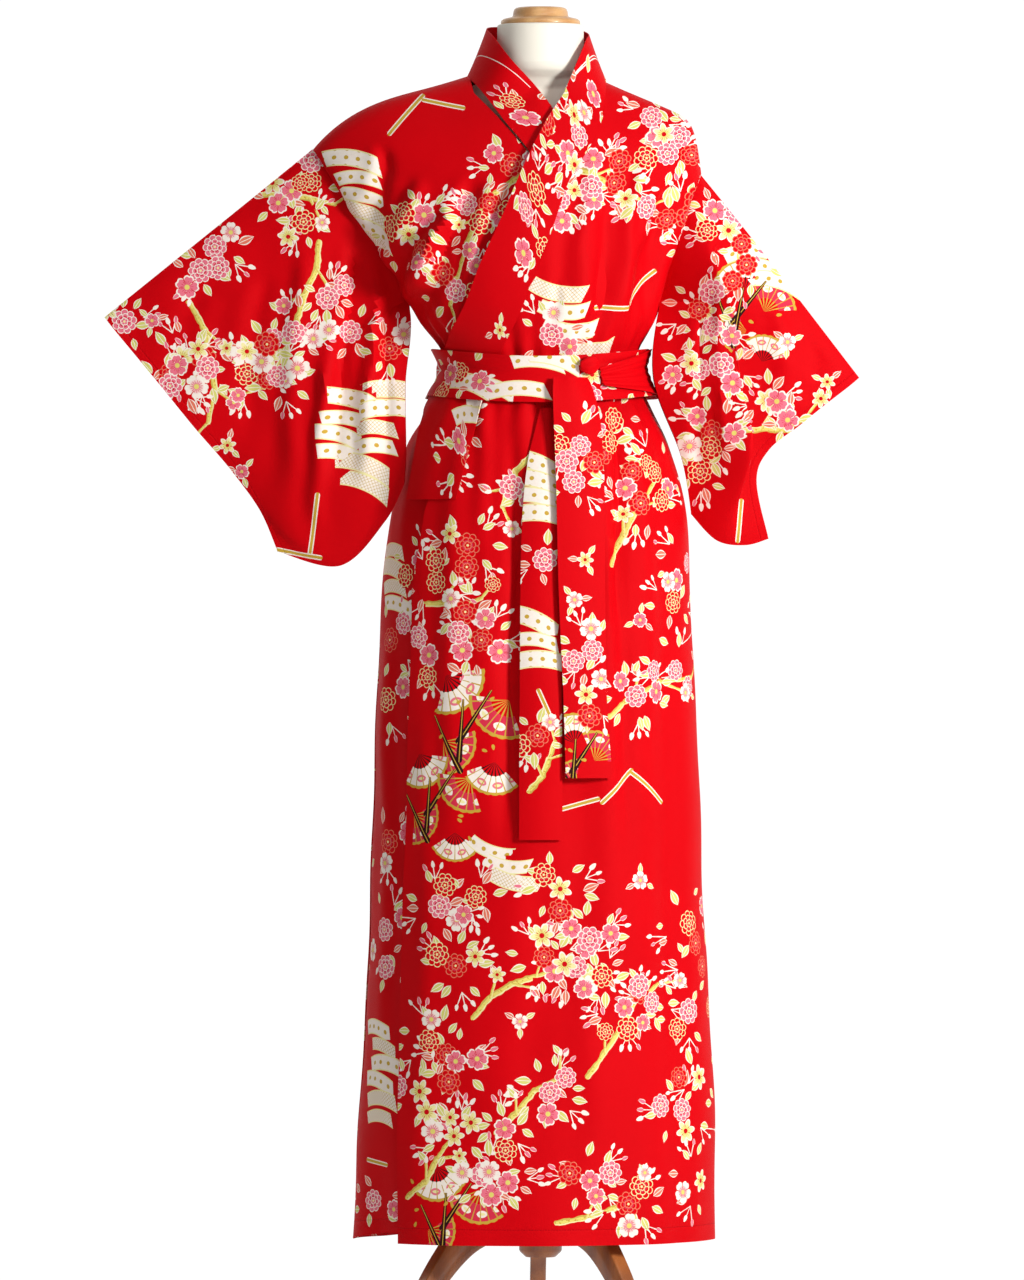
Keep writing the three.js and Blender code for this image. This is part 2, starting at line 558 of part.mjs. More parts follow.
const capProfile = [
  [0, 1759.3], [50, 1759.3], [50, 1763], [47, 1766], [35, 1769], [34, 1776], [31, 1780], [0, 1781],
];
const hubProfile = [
  [0, stand.hubBottom - 8], [20, stand.hubBottom - 8], [27, stand.hubBottom], [27, stand.hubTop - 30],
  [32, stand.hubTop - 24], [32, stand.hubTop - 12], [24, stand.hubTop], [0, stand.hubTop],
];
const poleProfile = [
  [0, stand.hubTop + 0.3], [form.poleRadius, stand.hubTop + 0.3],
  [form.poleRadius, form.bottom - 0.3], [0, form.bottom - 0.3],
];

// One curved leg, sawn from a board, from the hub out to the floor.
function legGeometry() {
  const curve = [
    { r: 27.3, top: 296, low: 235 }, { r: 60, top: 290, low: 232 }, { r: 110, top: 268, low: 212 },
    { r: 165, top: 205, low: 156 }, { r: 215, top: 122, low: 76 }, { r: 250, top: 66, low: 18 },
    { r: 262, top: 54, low: 0 }, { r: stand.footRadius, top: 46, low: 0 },
    { r: stand.footRadius + 24, top: 22, low: 0 },
  ];
  const half = stand.legThick / 2;
  return loftGeometry(curve.map((row) => [
    new THREE.Vector3(row.r, -half, row.low), new THREE.Vector3(row.r, half, row.low),
    new THREE.Vector3(row.r, half, row.top), new THREE.Vector3(row.r, -half, row.top),
  ]));
}

// ---- assembly -----------------------------------------------------------------------------
const yukata = new THREE.Group();
function add(name, geometry, material) {
  const mesh = new THREE.Mesh(geometry, material);
  mesh.name = name;
  yukata.add(mesh);
  return mesh;
}

add('body_wearers_left', bodySide('right'), redCloth());
add('body_wearers_right', bodySide('left'), redCloth());
add('sleeve_wearers_right', wallGeometry(sleeveGrid('left', leftSleeve), cloth.wall, true), redCloth());
add('sleeve_wearers_left', wallGeometry(sleeveGrid('right', rightSleeve), cloth.wall, true), redCloth());
add('collar_band', wallGeometry(collarGrid(), collar.wall), redCloth());
add('belt_wrap', wallGeometry(beltWrapGrid(), belt.wall, true), redCloth());
add('belt_fan', wallGeometry(beltFanGrid(), belt.wall), redCloth());
add('belt_knot', knotGeometry(), redCloth());
add('belt_end_upper', wallGeometry(tieGrid(upperTie), belt.wall), redCloth());
add('belt_end_lower', wallGeometry(tieGrid(lowerTie), belt.wall), redCloth());
add('dress_form', formGeometry(), creamCloth());
add('neck_cap', turnedGeometry(capProfile, 32), paleWood());
add('stand_pole', turnedGeometry(poleProfile, 20), brownWood());
add('stand_hub', turnedGeometry(hubProfile, 24), brownWood());
for (const [name, heading] of Object.entries(stand.headings)) {
  const leg = add(`stand_leg_${name}`, legGeometry(), brownWood());
  leg.rotation.z = radians(heading);
}

const box = new THREE.Box3().setFromObject(yukata);
const middle = box.getCenter(new THREE.Vector3());
yukata.position.set(-middle.x, -middle.y, -box.min.z);

export default yukata;
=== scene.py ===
import bpy
import math
import random
import numpy as np
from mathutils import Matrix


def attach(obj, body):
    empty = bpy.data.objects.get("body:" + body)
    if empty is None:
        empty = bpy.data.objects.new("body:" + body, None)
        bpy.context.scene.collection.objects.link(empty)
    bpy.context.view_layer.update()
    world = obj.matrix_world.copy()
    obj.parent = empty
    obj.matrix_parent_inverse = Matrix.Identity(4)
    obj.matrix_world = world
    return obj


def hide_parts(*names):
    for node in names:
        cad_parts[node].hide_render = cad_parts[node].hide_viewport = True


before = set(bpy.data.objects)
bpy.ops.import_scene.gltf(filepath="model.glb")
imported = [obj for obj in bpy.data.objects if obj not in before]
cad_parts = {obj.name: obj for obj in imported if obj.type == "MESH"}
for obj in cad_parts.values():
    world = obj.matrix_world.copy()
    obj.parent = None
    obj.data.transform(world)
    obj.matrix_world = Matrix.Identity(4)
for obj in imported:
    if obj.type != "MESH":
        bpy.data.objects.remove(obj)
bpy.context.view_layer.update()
scene = bpy.context.scene

view = {"place": (0.038, -13.4, 0.984), "lens": 298.5}
cameraData = bpy.data.cameras.new("frontCamera")
cameraData.lens = view["lens"]
camera = bpy.data.objects.new("frontCamera", cameraData)
camera.location = view["place"]
camera.rotation_euler = (math.radians(90), 0, 0)
scene.collection.objects.link(camera)
scene.camera = camera
print("camera set")

rowShift = np.array([73.909, -29.738, 0.0])  # mm from the form's pole to the middle of the row

studio = {
    "backdrop": 1.05, "room": 0.2,  # the bright paper behind the form, and the room in front of it
    "key": {"place": (2.3, -2.25, 1.85), "aim": (0, 0, 1.0), "size": 0.6, "power": 106},
    "fill": {"place": (-3.0, -3.0, 1.6), "aim": (0, 0, 0.9), "size": 2.2, "power": 7},
    "top": {"place": (0.5, -1.4, 3.4), "aim": (0, 0, 1.2), "size": 1.0, "power": 12},
    "floor": (0.93, 0.93, 0.92), "floorSize": 4.8,
}


def addLamp(name, values):
    data = bpy.data.lights.new(name, "AREA")
    data.size = values["size"]
    data.energy = values["power"]
    lamp = bpy.data.objects.new(name, data)
    place = np.array(values["place"], float)
    away = place - np.array(values["aim"], float)
    flat = math.hypot(away[0], away[1])
    lamp.location = place
    lamp.rotation_euler = (math.atan2(flat, away[2]), 0, math.atan2(away[1], away[0]) + math.pi / 2)
    scene.collection.objects.link(lamp)


for name in ("key", "fill", "top"):
    addLamp(name + "Lamp", studio[name])
scene.view_settings.view_transform = "Standard"
world = bpy.data.worlds.new("studioWorld")
scene.world = world
world.use_nodes = True


class Wire:  # one output of a node: a sum with it adds Math nodes
    def __init__(self, graph, socket):
        self.graph = graph
        self.socket = socket

    def maths(self, operation, *others, clamp=False):
        values = {0: self}
        for place, other in enumerate(others):
            values[place + 1] = other
        return self.graph.node("ShaderNodeMath", {"operation": operation, "use_clamp": clamp}, values)

    def of(self, name):  # another output of the same node
        return Wire(self.graph, self.socket.node.outputs[name])

    def __add__(self, other):
        return self.maths("ADD", other)

    __radd__ = __add__

    def __mul__(self, other):
        return self.maths("MULTIPLY", other)

    __rmul__ = __mul__

    def __sub__(self, other):
        return self.maths("SUBTRACT", other)

    def __rsub__(self, other):
        return self.graph.node("ShaderNodeMath", {"operation": "SUBTRACT"}, {0: other, 1: self})

    def __truediv__(self, other):
        return self.maths("DIVIDE", other)

    def __rtruediv__(self, other):
        return self.graph.node("ShaderNodeMath", {"operation": "DIVIDE"}, {0: other, 1: self})

    def __pow__(self, other):
        return self.maths("POWER", other)

    def __neg__(self):
        return self * -1.0

    def __abs__(self):
        return self.maths("ABSOLUTE")

    def under(self, edge, soft=0.0):  # 1 below the edge, 0 above it
        if soft:
            return (edge - self).maths("DIVIDE", soft, clamp=True)
        return self.maths("LESS_THAN", edge)

    def over(self, edge):
        return self.maths("GREATER_THAN", edge)


class Graph:
    def __init__(self, tree):
        self.tree = tree

    def node(self, kind, settings=None, values=None, out=0):
        made = self.tree.nodes.new(kind)
        for name, value in (settings or {}).items():
            setattr(made, name, value)
        for name, value in (values or {}).items():
            if isinstance(value, Wire):
                self.tree.links.new(value.socket, made.inputs[name])
            else:
                made.inputs[name].default_value = value
        return Wire(self, made.outputs[out])

    def mix(self, factor, first, second):  # colours
        asColour = lambda c: (*c, 1.0) if isinstance(c, tuple) and len(c) == 3 else c
        values = {0: factor, 6: asColour(first), 7: asColour(second)}
        return self.node("ShaderNodeMix", {"data_type": "RGBA"}, values, 2)

    def blend(self, factor, first, second):  # numbers
        return self.node("ShaderNodeMix", {"data_type": "FLOAT"}, {0: factor, 2: first, 3: second}, 0)

    def vector(self, operation, first, second=None, third=None, out=0):
        values = {0: first}
        if second is not None:
            values[1 if operation != "SCALE" else 3] = second
        if third is not None:
            values[2] = third
        return self.node("ShaderNodeVectorMath", {"operation": operation}, values, out)

    def split(self, vector):
        parts = self.node("ShaderNodeSeparateXYZ", None, {0: vector})
        return parts, parts.of("Y"), parts.of("Z")

    def noise(self, where, size, detail=2.0, rough=0.5):
        values = {"Vector": where, "Scale": size, "Detail": detail, "Roughness": rough}
        return self.node("ShaderNodeTexNoise", None, values)

    def stored(self, name, out=0):  # what the mesh holds there under that name
        settings = {"attribute_type": "GEOMETRY", "attribute_name": name}
        return self.node("ShaderNodeAttribute", settings, None, out)


motifSockets = {
    "Flat": "NodeSocketVector", "Slot": "NodeSocketVector",
    "Code": "NodeSocketFloat", "Base": "NodeSocketColor",
}


def startMotif(name):
    tree = bpy.data.node_groups.new(name, "ShaderNodeTree")
    for label, kind in motifSockets.items():
        tree.interface.new_socket(label, in_out="INPUT", socket_type=kind)
    tree.interface.new_socket("Colour", in_out="OUTPUT", socket_type="NodeSocketColor")
    graph = Graph(tree)
    entry = graph.node("NodeGroupInput")
    return tree, graph, {label: entry.of(label) for label in motifSockets}


def closeMotif(graph, colour):
    ending = graph.tree.nodes.new("NodeGroupOutput")
    graph.tree.links.new(colour.socket, ending.inputs["Colour"])


roomLight = Graph(world.node_tree)
heading = roomLight.split(roomLight.node("ShaderNodeTexCoord"))[1]
behind = (heading * 3.0 - 0.6).maths("MINIMUM", 1.0).maths("MAXIMUM", 0.0)
strength = roomLight.blend(behind, studio["room"], studio["backdrop"])
background = world.node_tree.nodes["Background"]
background.inputs["Color"].default_value = (1, 1, 1, 1)
world.node_tree.links.new(strength.socket, background.inputs["Strength"])
print("lamps and room set")


def linear(red, green, blue):  # a screen colour, 0 to 255
    spread = lambda c: c / 12.92 if c <= 0.04045 else ((c + 0.055) / 1.055) ** 2.4
    return tuple(spread(c / 255) for c in (red, green, blue))


# The form of the worn cloth, in mm from the form's pole and the floor. Left and right are as seen
# from the front. A level has its height in the middle, the width and height at each side, the depth
# in front and behind, and how far the armhole gapes.
def columnsOf(names, rows):
    return {name: np.array([row[k] for row in rows], float) for k, name in enumerate(names.split())}


levels = columnsOf("height left leftZ right rightZ front back gape", [
    (230, 234, 230, 218, 230, 166, 152, 0), (330, 231, 330, 219, 330, 163, 150, 0),
    (430, 225, 430, 217, 430, 159, 148, 0), (600, 216, 600, 208, 600, 153, 146, 0),
    (790, 209, 790, 200, 790, 147, 144, 0), (930, 205, 930, 194, 930, 142, 144, 0),
    (1050, 199, 1050, 188, 1050, 136, 144, 0), (1150, 186, 1150, 181, 1150, 130, 142, 0),
    (1225, 168, 1225, 163, 1225, 122, 132, 0), (1275, 136, 1275, 139, 1275, 108, 110, 0),
    (1320, 113, 1320, 115, 1320, 95, 95, 2), (1352, 122, 1352, 121, 1352, 99, 97, 5),
    (1385, 150, 1385, 143, 1385, 110, 104, 6), (1412, 167, 1412, 151, 1412, 116, 108, 6),
    (1492, 197, 1460, 160, 1452, 119, 112, 18), (1571, 228, 1508, 171, 1492, 104, 102, 24),
    (1642, 258, 1556, 186, 1531, 78, 96, 24), (1692, 276, 1585, 196, 1555, 46, 76, 16),
    (1714, 284, 1597, 200, 1566, 24, 47, 8), (1722, 287, 1602, 202, 1571, 0, 0, 0),
])
topLevel = len(levels["height"]) - 1
armpitLevel = 13
# How much of the shoulder's fall comes late, and how suddenly.
shoulderRound = {"left": 0.28, "leftPower": 8, "right": 0.42, "rightPower": 32}
cloth = {"wall": 1.3, "seam": 0.3, "layer": 8.6, "step": 7.0, "hem": 230, "underHemRise": 12}

overEdge = columnsOf("z x", [
    (230, -174), (430, -172), (600, -169), (790, -161), (930, -158), (1050, -154), (1150, -138),
    (1225, -105), (1292, -72), (1347, -52), (1399, -32), (1446, -18), (1494, 0), (1556, 17),
    (1603, 44), (1656, 66), (1722, 78),
])
underEdge = columnsOf("z x", [
    (230, 120), (600, 112), (930, 100), (1150, 88), (1292, 58), (1347, 50), (1400, 42), (1480, 30),
    (1540, 12), (1595, -14), (1650, -52), (1695, -84), (1722, -90),
])
# Long folds: degrees from the front, depth, width and the heights between which they run.
softFolds = columnsOf("angle depth width low high", [
    (-14, -6, 9, 640, 1290), (30, 5, 10, 400, 1260), (52, -6, 9, 230, 1180), (-62, -5, 9, 230, 1000),
    (122, -7, 9, 230, 1200), (150, 6, 10, 230, 1250), (-118, -7, 9, 230, 1180), (-146, 6, 10, 230, 1220),
    (-48, 7, 10, 1350, 1530), (-70, -6, 9, 1352, 1560), (64, -6, 9, 1352, 1540), (140, 7, 10, 1352, 1560),
    (-140, 7, 10, 1352, 1560),
])


def smoothColumn(values, place):  # a smooth curve through the values
    last = len(values) - 1
    at = np.clip(np.asarray(place, float), 0, last)
    i = np.minimum(np.floor(at).astype(int), last - 1)
    a, b, c, d = (values[np.clip(i + k, 0, last)] for k in (-1, 0, 1, 2))
    t = at - i
    bend = (2 * a - 5 * b + 4 * c - d) * t * t
    return 0.5 * (2 * b + (c - a) * t + bend + (3 * b - a - 3 * c + d) * t ** 3)


def foldLift(angle, z):
    lift = 0
    for fold in zip(*(softFolds[name] for name in ("angle", "depth", "width", "low", "high"))):
        middle, depth, width, low, high = fold
        span = (high - low) / 2
        rise = 1 - np.abs(z - low - span) / span
        hang = 1 - (z - low) / (2 * span) if low == cloth["hem"] else rise
        lift = lift + depth * np.exp(-((angle - middle) / width) ** 2) * np.clip(2 * hang, 0, 1)
    return lift


def together(*values):
    return np.broadcast_arrays(*(np.asarray(value, float) for value in values))


def bodyPoint(level, angle, lift=0.0):
    level, angle, lift = together(level, angle, lift)
    read = lambda name: smoothColumn(levels[name], level)
    turn = np.radians(angle)
    onLeft = np.sin(turn) < 0
    wide = np.where(onLeft, read("left"), read("right"))
    sideZ = np.where(onLeft, read("leftZ"), read("rightZ"))
    share = np.abs(np.sin(turn))
    roundness = np.where(onLeft, shoulderRound["left"], shoulderRound["right"])
    power = np.where(onLeft, shoulderRound["leftPower"], shoulderRound["rightPower"])
    centreZ = read("height")
    z = centreZ - (centreZ - sideZ) * ((1 - roundness) * share + roundness * share ** power)
    facing = np.where(np.abs(angle) <= 90, -1.0, 1.0)
    depth = np.maximum(np.where(facing < 0, read("front"), read("back")), 0)
    out = lift + foldLift(angle, z) * np.clip(depth / 60, 0, 1)
    gape = np.maximum(read("gape"), 0) * share ** 6
    y = facing * (np.maximum(depth + out * np.clip(depth / 30, 0, 1), 0) * np.abs(np.cos(turn)) + gape)
    return np.stack([np.where(onLeft, -1, 1) * (wide + out) * share, y, z], -1)


def layerLift(layer, angle):  # the two fronts stay a layer apart where they cross
    share = np.clip((30 - angle) / 50, 0, 1)
    return cloth["layer"] * share if layer == "over" else -cloth["layer"] * (1 - share)


def frontPoint(level, x, layer, lift=0.0):
    wide = np.where(x < 0, smoothColumn(levels["left"], level), smoothColumn(levels["right"], level))
    angle = np.degrees(np.arcsin(np.clip(x / wide, -0.985, 0.985)))
    return bodyPoint(level, angle, layerLift(layer, angle) + lift)


def levelAt(x, z, layer):  # the level at which the front has this height
    x, z = together(x, z)
    low, high = np.zeros(x.shape), np.full(x.shape, float(topLevel))
    for step in range(24):
        middle = (low + high) / 2
        below = frontPoint(middle, x, layer)[..., 2] < z
        low, high = np.where(below, middle, low), np.where(below, high, middle)
    return (low + high) / 2


def slopes(grid):  # over two rows, and over one row at each end
    return np.concatenate([grid[1:2] - grid[:1], grid[2:] - grid[:-2], grid[-1:] - grid[-2:-1]])


def gridNormals(grid, closedRows=False):
    alongRows = np.roll(grid, -1, 0) - np.roll(grid, 1, 0) if closedRows else slopes(grid)
    across = slopes(grid.swapaxes(0, 1)).swapaxes(0, 1)
    normal = np.cross(alongRows, across)
    return normal / np.maximum(np.linalg.norm(normal, axis=-1, keepdims=True), 1e-9)


def flatGrid(grid, zeroAt=None):  # how far each point lies along the flat cloth
    step = np.diff(grid, axis=1)
    length = np.linalg.norm(step, axis=-1) if zeroAt is None else np.hypot(step[..., 0], step[..., 1])
    u = np.concatenate([np.zeros((len(grid), 1)), np.cumsum(length, 1)], 1)
    if zeroAt is not None:
        near, every = np.abs(zeroAt).argmin(1), np.arange(len(grid))
        way = np.sign(zeroAt[:, -1] - zeroAt[:, 0])
        u = u - (u[every, near] - way * zeroAt[every, near])[:, None]
    slant = (np.diff(grid, axis=0) ** 2).sum(-1)
    rise = np.sqrt(np.maximum(slant - np.diff(u, axis=0) ** 2, 0.04 * slant))
    v = np.concatenate([np.zeros((1, grid.shape[1])), np.cumsum(rise, 0)], 0)
    return np.stack([u, v], -1)


def smoothStep(value):
    value = np.clip(value, 0, 1)
    return value * value * (3 - 2 * value)


def creaseLift(points, rows, facing):  # soft troughs and ridges drawn as lines on the front or back
    lift = np.zeros(points.shape[:-1])
    for side, x0, z0, x1, z1, depth, width in rows:
        if side != facing:
            continue
        run = np.array([x1 - x0, z1 - z0], float)
        long = math.hypot(*run)
        dx, dz = points[..., 0] - x0, points[..., 2] - z0
        along = (dx * run[0] + dz * run[1]) / long ** 2
        wander = 0.18 * width * np.sin(along * 7 + x0) + 0.1 * width * np.sin(along * 17 + z0)
        away = (dx * run[1] - dz * run[0]) / long + wander
        wide = width * (0.55 + 0.45 * np.clip(along, 0, 1))
        shape = np.exp(-(away / wide) ** 2) - 0.35 * np.exp(-((away - 1.8 * wide) / wide) ** 2)
        lift += depth * shape * smoothStep(along / 0.16 + 0.3) * smoothStep((1 - along) / 0.3 + 0.15)
    return lift


def meshFrom(name, points, faces, flats, smooth=40):
    corners = points.reshape(-1, 3)
    a, b, c = (corners[faces[:, k]] for k in (0, 1, 2))
    volume = np.einsum("ij,ij->", a, np.cross(b, c))
    if faces.shape[1] == 4:
        volume += np.einsum("ij,ij->", a, np.cross(c, corners[faces[:, 3]]))
    if volume < 0:  # the faces look inwards
        faces = faces[:, ::-1]
    mesh = bpy.data.meshes.new(name)
    mesh.vertices.add(len(corners))
    mesh.vertices.foreach_set("co", ((corners + rowShift) / 1000).astype(np.float32).ravel())
    mesh.loops.add(faces.size)
    mesh.loops.foreach_set("vertex_index", faces.astype(np.int32).ravel())
    mesh.polygons.add(len(faces))
    mesh.polygons.foreach_set("loop_start", np.arange(0, faces.size, faces.shape[1], dtype=np.int32))
    mesh.update(calc_edges=True)
    mesh.polygons.foreach_set("use_smooth", np.ones(len(faces), bool))
    layer = mesh.uv_layers.new(name="flatCloth")
    layer.data.foreach_set("uv", (flats.reshape(-1, 2)[faces.ravel()] / 1000).astype(np.float32).ravel())
    mesh.set_sharp_from_angle(angle=math.radians(smooth))
    mesh.validate()
    made = bpy.data.objects.new(name, mesh)
    scene.collection.objects.link(made)
    return made, faces


def wallFaces(rows, columns, closedRows=False):
    lastRow = rows if closedRows else rows - 1
    outer = lambda r, c: (r % rows) * columns + c
    inner = lambda r, c: rows * columns + outer(r, c)
    quads = lambda *corners: np.stack([k.ravel() for k in corners], -1)
    hem = lambda r, c, r2, c2: quads(outer(r, c), inner(r, c), inner(r2, c2), outer(r2, c2))
    i, j = np.meshgrid(np.arange(lastRow), np.arange(columns - 1), indexing="ij")
    faces = [quads(outer(i, j), outer(i + 1, j), outer(i + 1, j + 1), outer(i, j + 1)),
             quads(inner(i, j), inner(i, j + 1), inner(i + 1, j + 1), inner(i + 1, j))]
    r, c, last, end = np.arange(lastRow), np.arange(columns - 1), columns - 1, rows - 1
    faces += [hem(r, 0, r + 1, 0), hem(r + 1, last, r, last)]
    if not closedRows:
        faces += [hem(0, c + 1, 0, c), hem(end, c, end, c + 1)]
    return np.concatenate(faces)


def wallMesh(name, grid, flats, closedRows=False, wall=None):
    offset = gridNormals(grid, closedRows) * (wall or cloth["wall"]) / 2
    points = np.concatenate([grid + offset, grid - offset])
    faces = wallFaces(len(grid), grid.shape[1], closedRows)
    return meshFrom(name, points, faces, np.concatenate([flats, flats]))


def loftMesh(name, rings, smooth=40):  # a closed solid through rings of points
    count, around = rings.shape[:2]
    i, j = np.meshgrid(np.arange(count - 1), np.arange(around), indexing="ij")
    at = lambda r, c: r * around + c % around
    quads = np.stack([k.ravel() for k in (at(i, j), at(i, j + 1), at(i + 1, j + 1), at(i + 1, j))], -1)
    hubs = np.stack([rings[0].mean(0), rings[-1].mean(0)])
    c = np.arange(around)
    lowHub, highHub = count * around, count * around + 1
    ends = [np.stack([lowHub + 0 * c, at(0, c + 1), at(0, c)], -1),
            np.stack([highHub + 0 * c, at(count - 1, c), at(count - 1, c + 1)], -1)]
    triangles = np.concatenate([quads[:, [0, 1, 2]], quads[:, [0, 2, 3]], *ends])
    spread = np.stack([np.broadcast_to(c / around * 100, (count, around)), rings[..., 2]], -1).reshape(-1, 2)
    flats = np.concatenate([spread, np.zeros((2, 2))])
    made, faces = meshFrom(name, np.concatenate([rings.reshape(-1, 3), hubs]), triangles, flats, smooth)
    return made


print("helpers ready")


# The print: each face of the cloth holds the motifs that touch it, and the material draws them.
printColours = {
    "ground": linear(214, 0, 12), "groundDeep": linear(182, 0, 8), "white": linear(248, 238, 226),
    "cream": linear(240, 232, 168), "branch": linear(228, 216, 112), "bark": linear(200, 176, 84),
    "leaf": linear(214, 212, 116), "salmon": linear(226, 122, 96), "pink": linear(234, 118, 138),
    "rose": linear(212, 50, 74), "gold": linear(200, 166, 62), "red": linear(200, 8, 22),
    "black": linear(24, 18, 20),
}
slotCounts = {"shape": 2, "branch": 3, "leaf": 3, "bloom": 3}
reach = {"shape": 1.3, "branch": 0.0, "leaf": 0.55, "bloom": 1.05}  # a motif's radius for its size
spray = {
    "apart": 27, "bloom": (13.5, 16.5), "leaf": (15, 22), "bud": (8, 10.5), "twig": (22, 36),
    "widestFace": 30,
}


# Kinds. Shape: 1 ribbon with drops, 2 latticed ribbon, 3 white fan, 4 rose fan. Branch: 1 to 3 wood,
# thick to thin, 4 stem of a bud, 5 gold rod, 6 black-lacquer stick. Leaf: 1 yellow-green, 2 salmon,
# 3 white bud, 4 pink bud, 5 gold drop. Bloom: 1 white, 2 pink, 3 cream with gold rays, 4 to 6 double.
def motif(family, kind, x, y, angle, size):
    return (family, kind, x, y, angle, size)


def stepFrom(x, z, turn, far):
    return x + far * math.cos(turn), z + far * math.sin(turn)


def stem(start, end, kind):
    dx, dz = end[0] - start[0], end[1] - start[1]
    middle = ((start[0] + end[0]) / 2, (start[1] + end[1]) / 2)
    return motif("branch", kind, *middle, math.atan2(dz, dx), math.hypot(dx, dz) / 2)


def drawCluster(rng, x, z, count):
    found = []
    places = [(x, z)]
    start = rng.uniform(0, 6.3)
    for k in range(count - 1):
        places.append(stepFrom(x, z, start + k * 2.2 + rng.uniform(-0.2, 0.2), spray["apart"]))
    for k, place in enumerate(places):
        kind = rng.choice([4, 5, 6, 4, 3, 2]) if k == 0 else rng.choice([1, 5, 2, 3, 6, 2, 4])
        found.append(motif("bloom", kind, *place, rng.uniform(0, 6.3), rng.uniform(*spray["bloom"])))
    ring = 18 + 9 * min(count - 1, 2)
    for k in range(2 + 2 * count):  # leaves look out from under the flowers
        turn = start + 1.1 + k * 6.283 / (2 + 2 * count) + rng.uniform(-0.3, 0.3)
        place = stepFrom(x, z, turn, ring + rng.uniform(-3, 5))
        found.append(motif("leaf", rng.choice([1, 1, 1, 2]), *place,
                           turn + rng.uniform(-0.4, 0.4), rng.uniform(*spray["leaf"])))
    for k in range(count):  # buds in threes on thin stems
        turn = start + 0.4 + k * 6.283 / count + rng.uniform(-0.4, 0.4)
        for bend in (-0.38, 0, 0.38):
            tip = stepFrom(x, z, turn + bend * 0.55, ring + rng.uniform(13, 18))
            found.append(stem(stepFrom(x, z, turn, ring - 2), tip, 4))
            found.append(motif("leaf", rng.choice([3, 3, 4]), *tip, turn + bend, rng.uniform(*spray["bud"])))
    return found


def drawBough(rng, x, z, dx, dz):
    found = []
    long = math.hypot(dx, dz)
    steps = max(3, round(long / 34))
    along, across = (dx / long, dz / long), (-dz / long, dx / long)
    bow = rng.uniform(-0.14, 0.14) * long
    points = []
    for k in range(steps + 1):
        share = k / steps
        side = bow * math.sin(math.pi * share) + rng.uniform(-6, 6) * (0 < k)
        points.append((x + dx * share + across[0] * side, z + dz * share + across[1] * side))
    for k in range(steps):
        found.append(stem(points[k], points[k + 1], 1 if k < steps * 0.55 else 2))
    for k in range(1, steps + 1):  # side twigs that end in a flower, a leaf or buds
        side = 1 if k % 2 else -1
        turn = math.atan2(along[1], along[0]) + side * rng.uniform(0.6, 1.0)
        tip = stepFrom(*points[k], turn, rng.uniform(*spray["twig"]))
        found.append(stem(points[k], tip, 3))
        found.append(motif("leaf", rng.choice([1, 1, 2]), *stepFrom(*tip, turn + side, 6),
                           turn + 0.7 * side, rng.uniform(15, 20)))
        if rng.random() < 0.55:
            kind = rng.choice([1, 2, 3, 5])
            found.append(motif("bloom", kind, *tip, rng.uniform(0, 6), rng.uniform(10, 13)))
        else:
            found.append(motif("leaf", 3, *tip, turn, 9))
            found.append(motif("leaf", 4, *stepFrom(*tip, turn - 1.2, 7), turn - 0.8, 8))
    return found


def drawRibbons(rng, x, z, dx, dz):
    x, z = x + rng.uniform(-9, 9), z + rng.uniform(-9, 9)
    long = math.hypot(dx, dz)
    count = max(2, round(long / 24) + 1)
    found = []
    for k in range(count):
        kind = rng.choice([1, 1, 2])
        px, pz = x + dx * k / (count - 1) + rng.uniform(-7, 7), z + dz * k / (count - 1)
        found.append(motif("shape", kind, px, pz, rng.uniform(-0.42, 0.12), rng.uniform(27, 38)))
    return found


def drawRod(rng, x, z, dx, dz):
    x, z = x + rng.uniform(-5, 5), z + rng.uniform(-5, 5)
    return [stem((x, z), (x + dx, z + dz), 5)]


def drawFans(rng, x, z, size):
    found = []
    spread = [(-0.4, 0.9, 0.5, 3), (0.9, 0.1, -0.5, 4), (-0.5, -1.1, 0.9, 4), (0.7, -1.9, -0.2, 3)]
    for k, (dx, dz, turn, kind) in enumerate(spread):
        place = (x + dx * size * 1.15, z + dz * size * 1.15)
        wide = size * (1.0 if k < 2 else 0.85)
        found.append(motif("shape", kind, *place, turn + rng.uniform(-0.2, 0.2), wide))
    for k in range(3):  # black-lacquer sticks laid across
        place = (x + size * (0.2 - 0.5 * k), z - size * (0.5 * k))
        found.append(motif("branch", 6, *place, 1.0 + 0.5 * k, size * 1.1))
    for k in range(6):  # gold drops
        place = (x + size * rng.uniform(-1.8, 1.8), z + size * rng.uniform(-2, 1.4))
        found.append(motif("leaf", 5, *place, rng.uniform(0, 6), 7))
    return found


def drawSprig(rng, x, z):
    turn = rng.uniform(0, 6.3)
    found = [motif("bloom", rng.choice([1, 2, 3]), x, z, turn, rng.uniform(10, 12.5))]
    for k in range(3):
        angle = turn + k * 2.1
        found.append(motif("leaf", 1 + k % 2, *stepFrom(x, z, angle, 15), angle, 14))
    return found


def drawRow(rng, kind, x, z, dx, dz):
    if kind == "c":
        return drawCluster(rng, x, z, int(dx))
    if kind == "b":
        return drawBough(rng, x, z, dx, dz)
    if kind == "r":
        return drawRibbons(rng, x, z, dx, dz)
    if kind == "g":
        return drawRod(rng, x, z, dx, dz)
    if kind == "f":
        return drawFans(rng, x, z, dx)
    return drawSprig(rng, x, z)


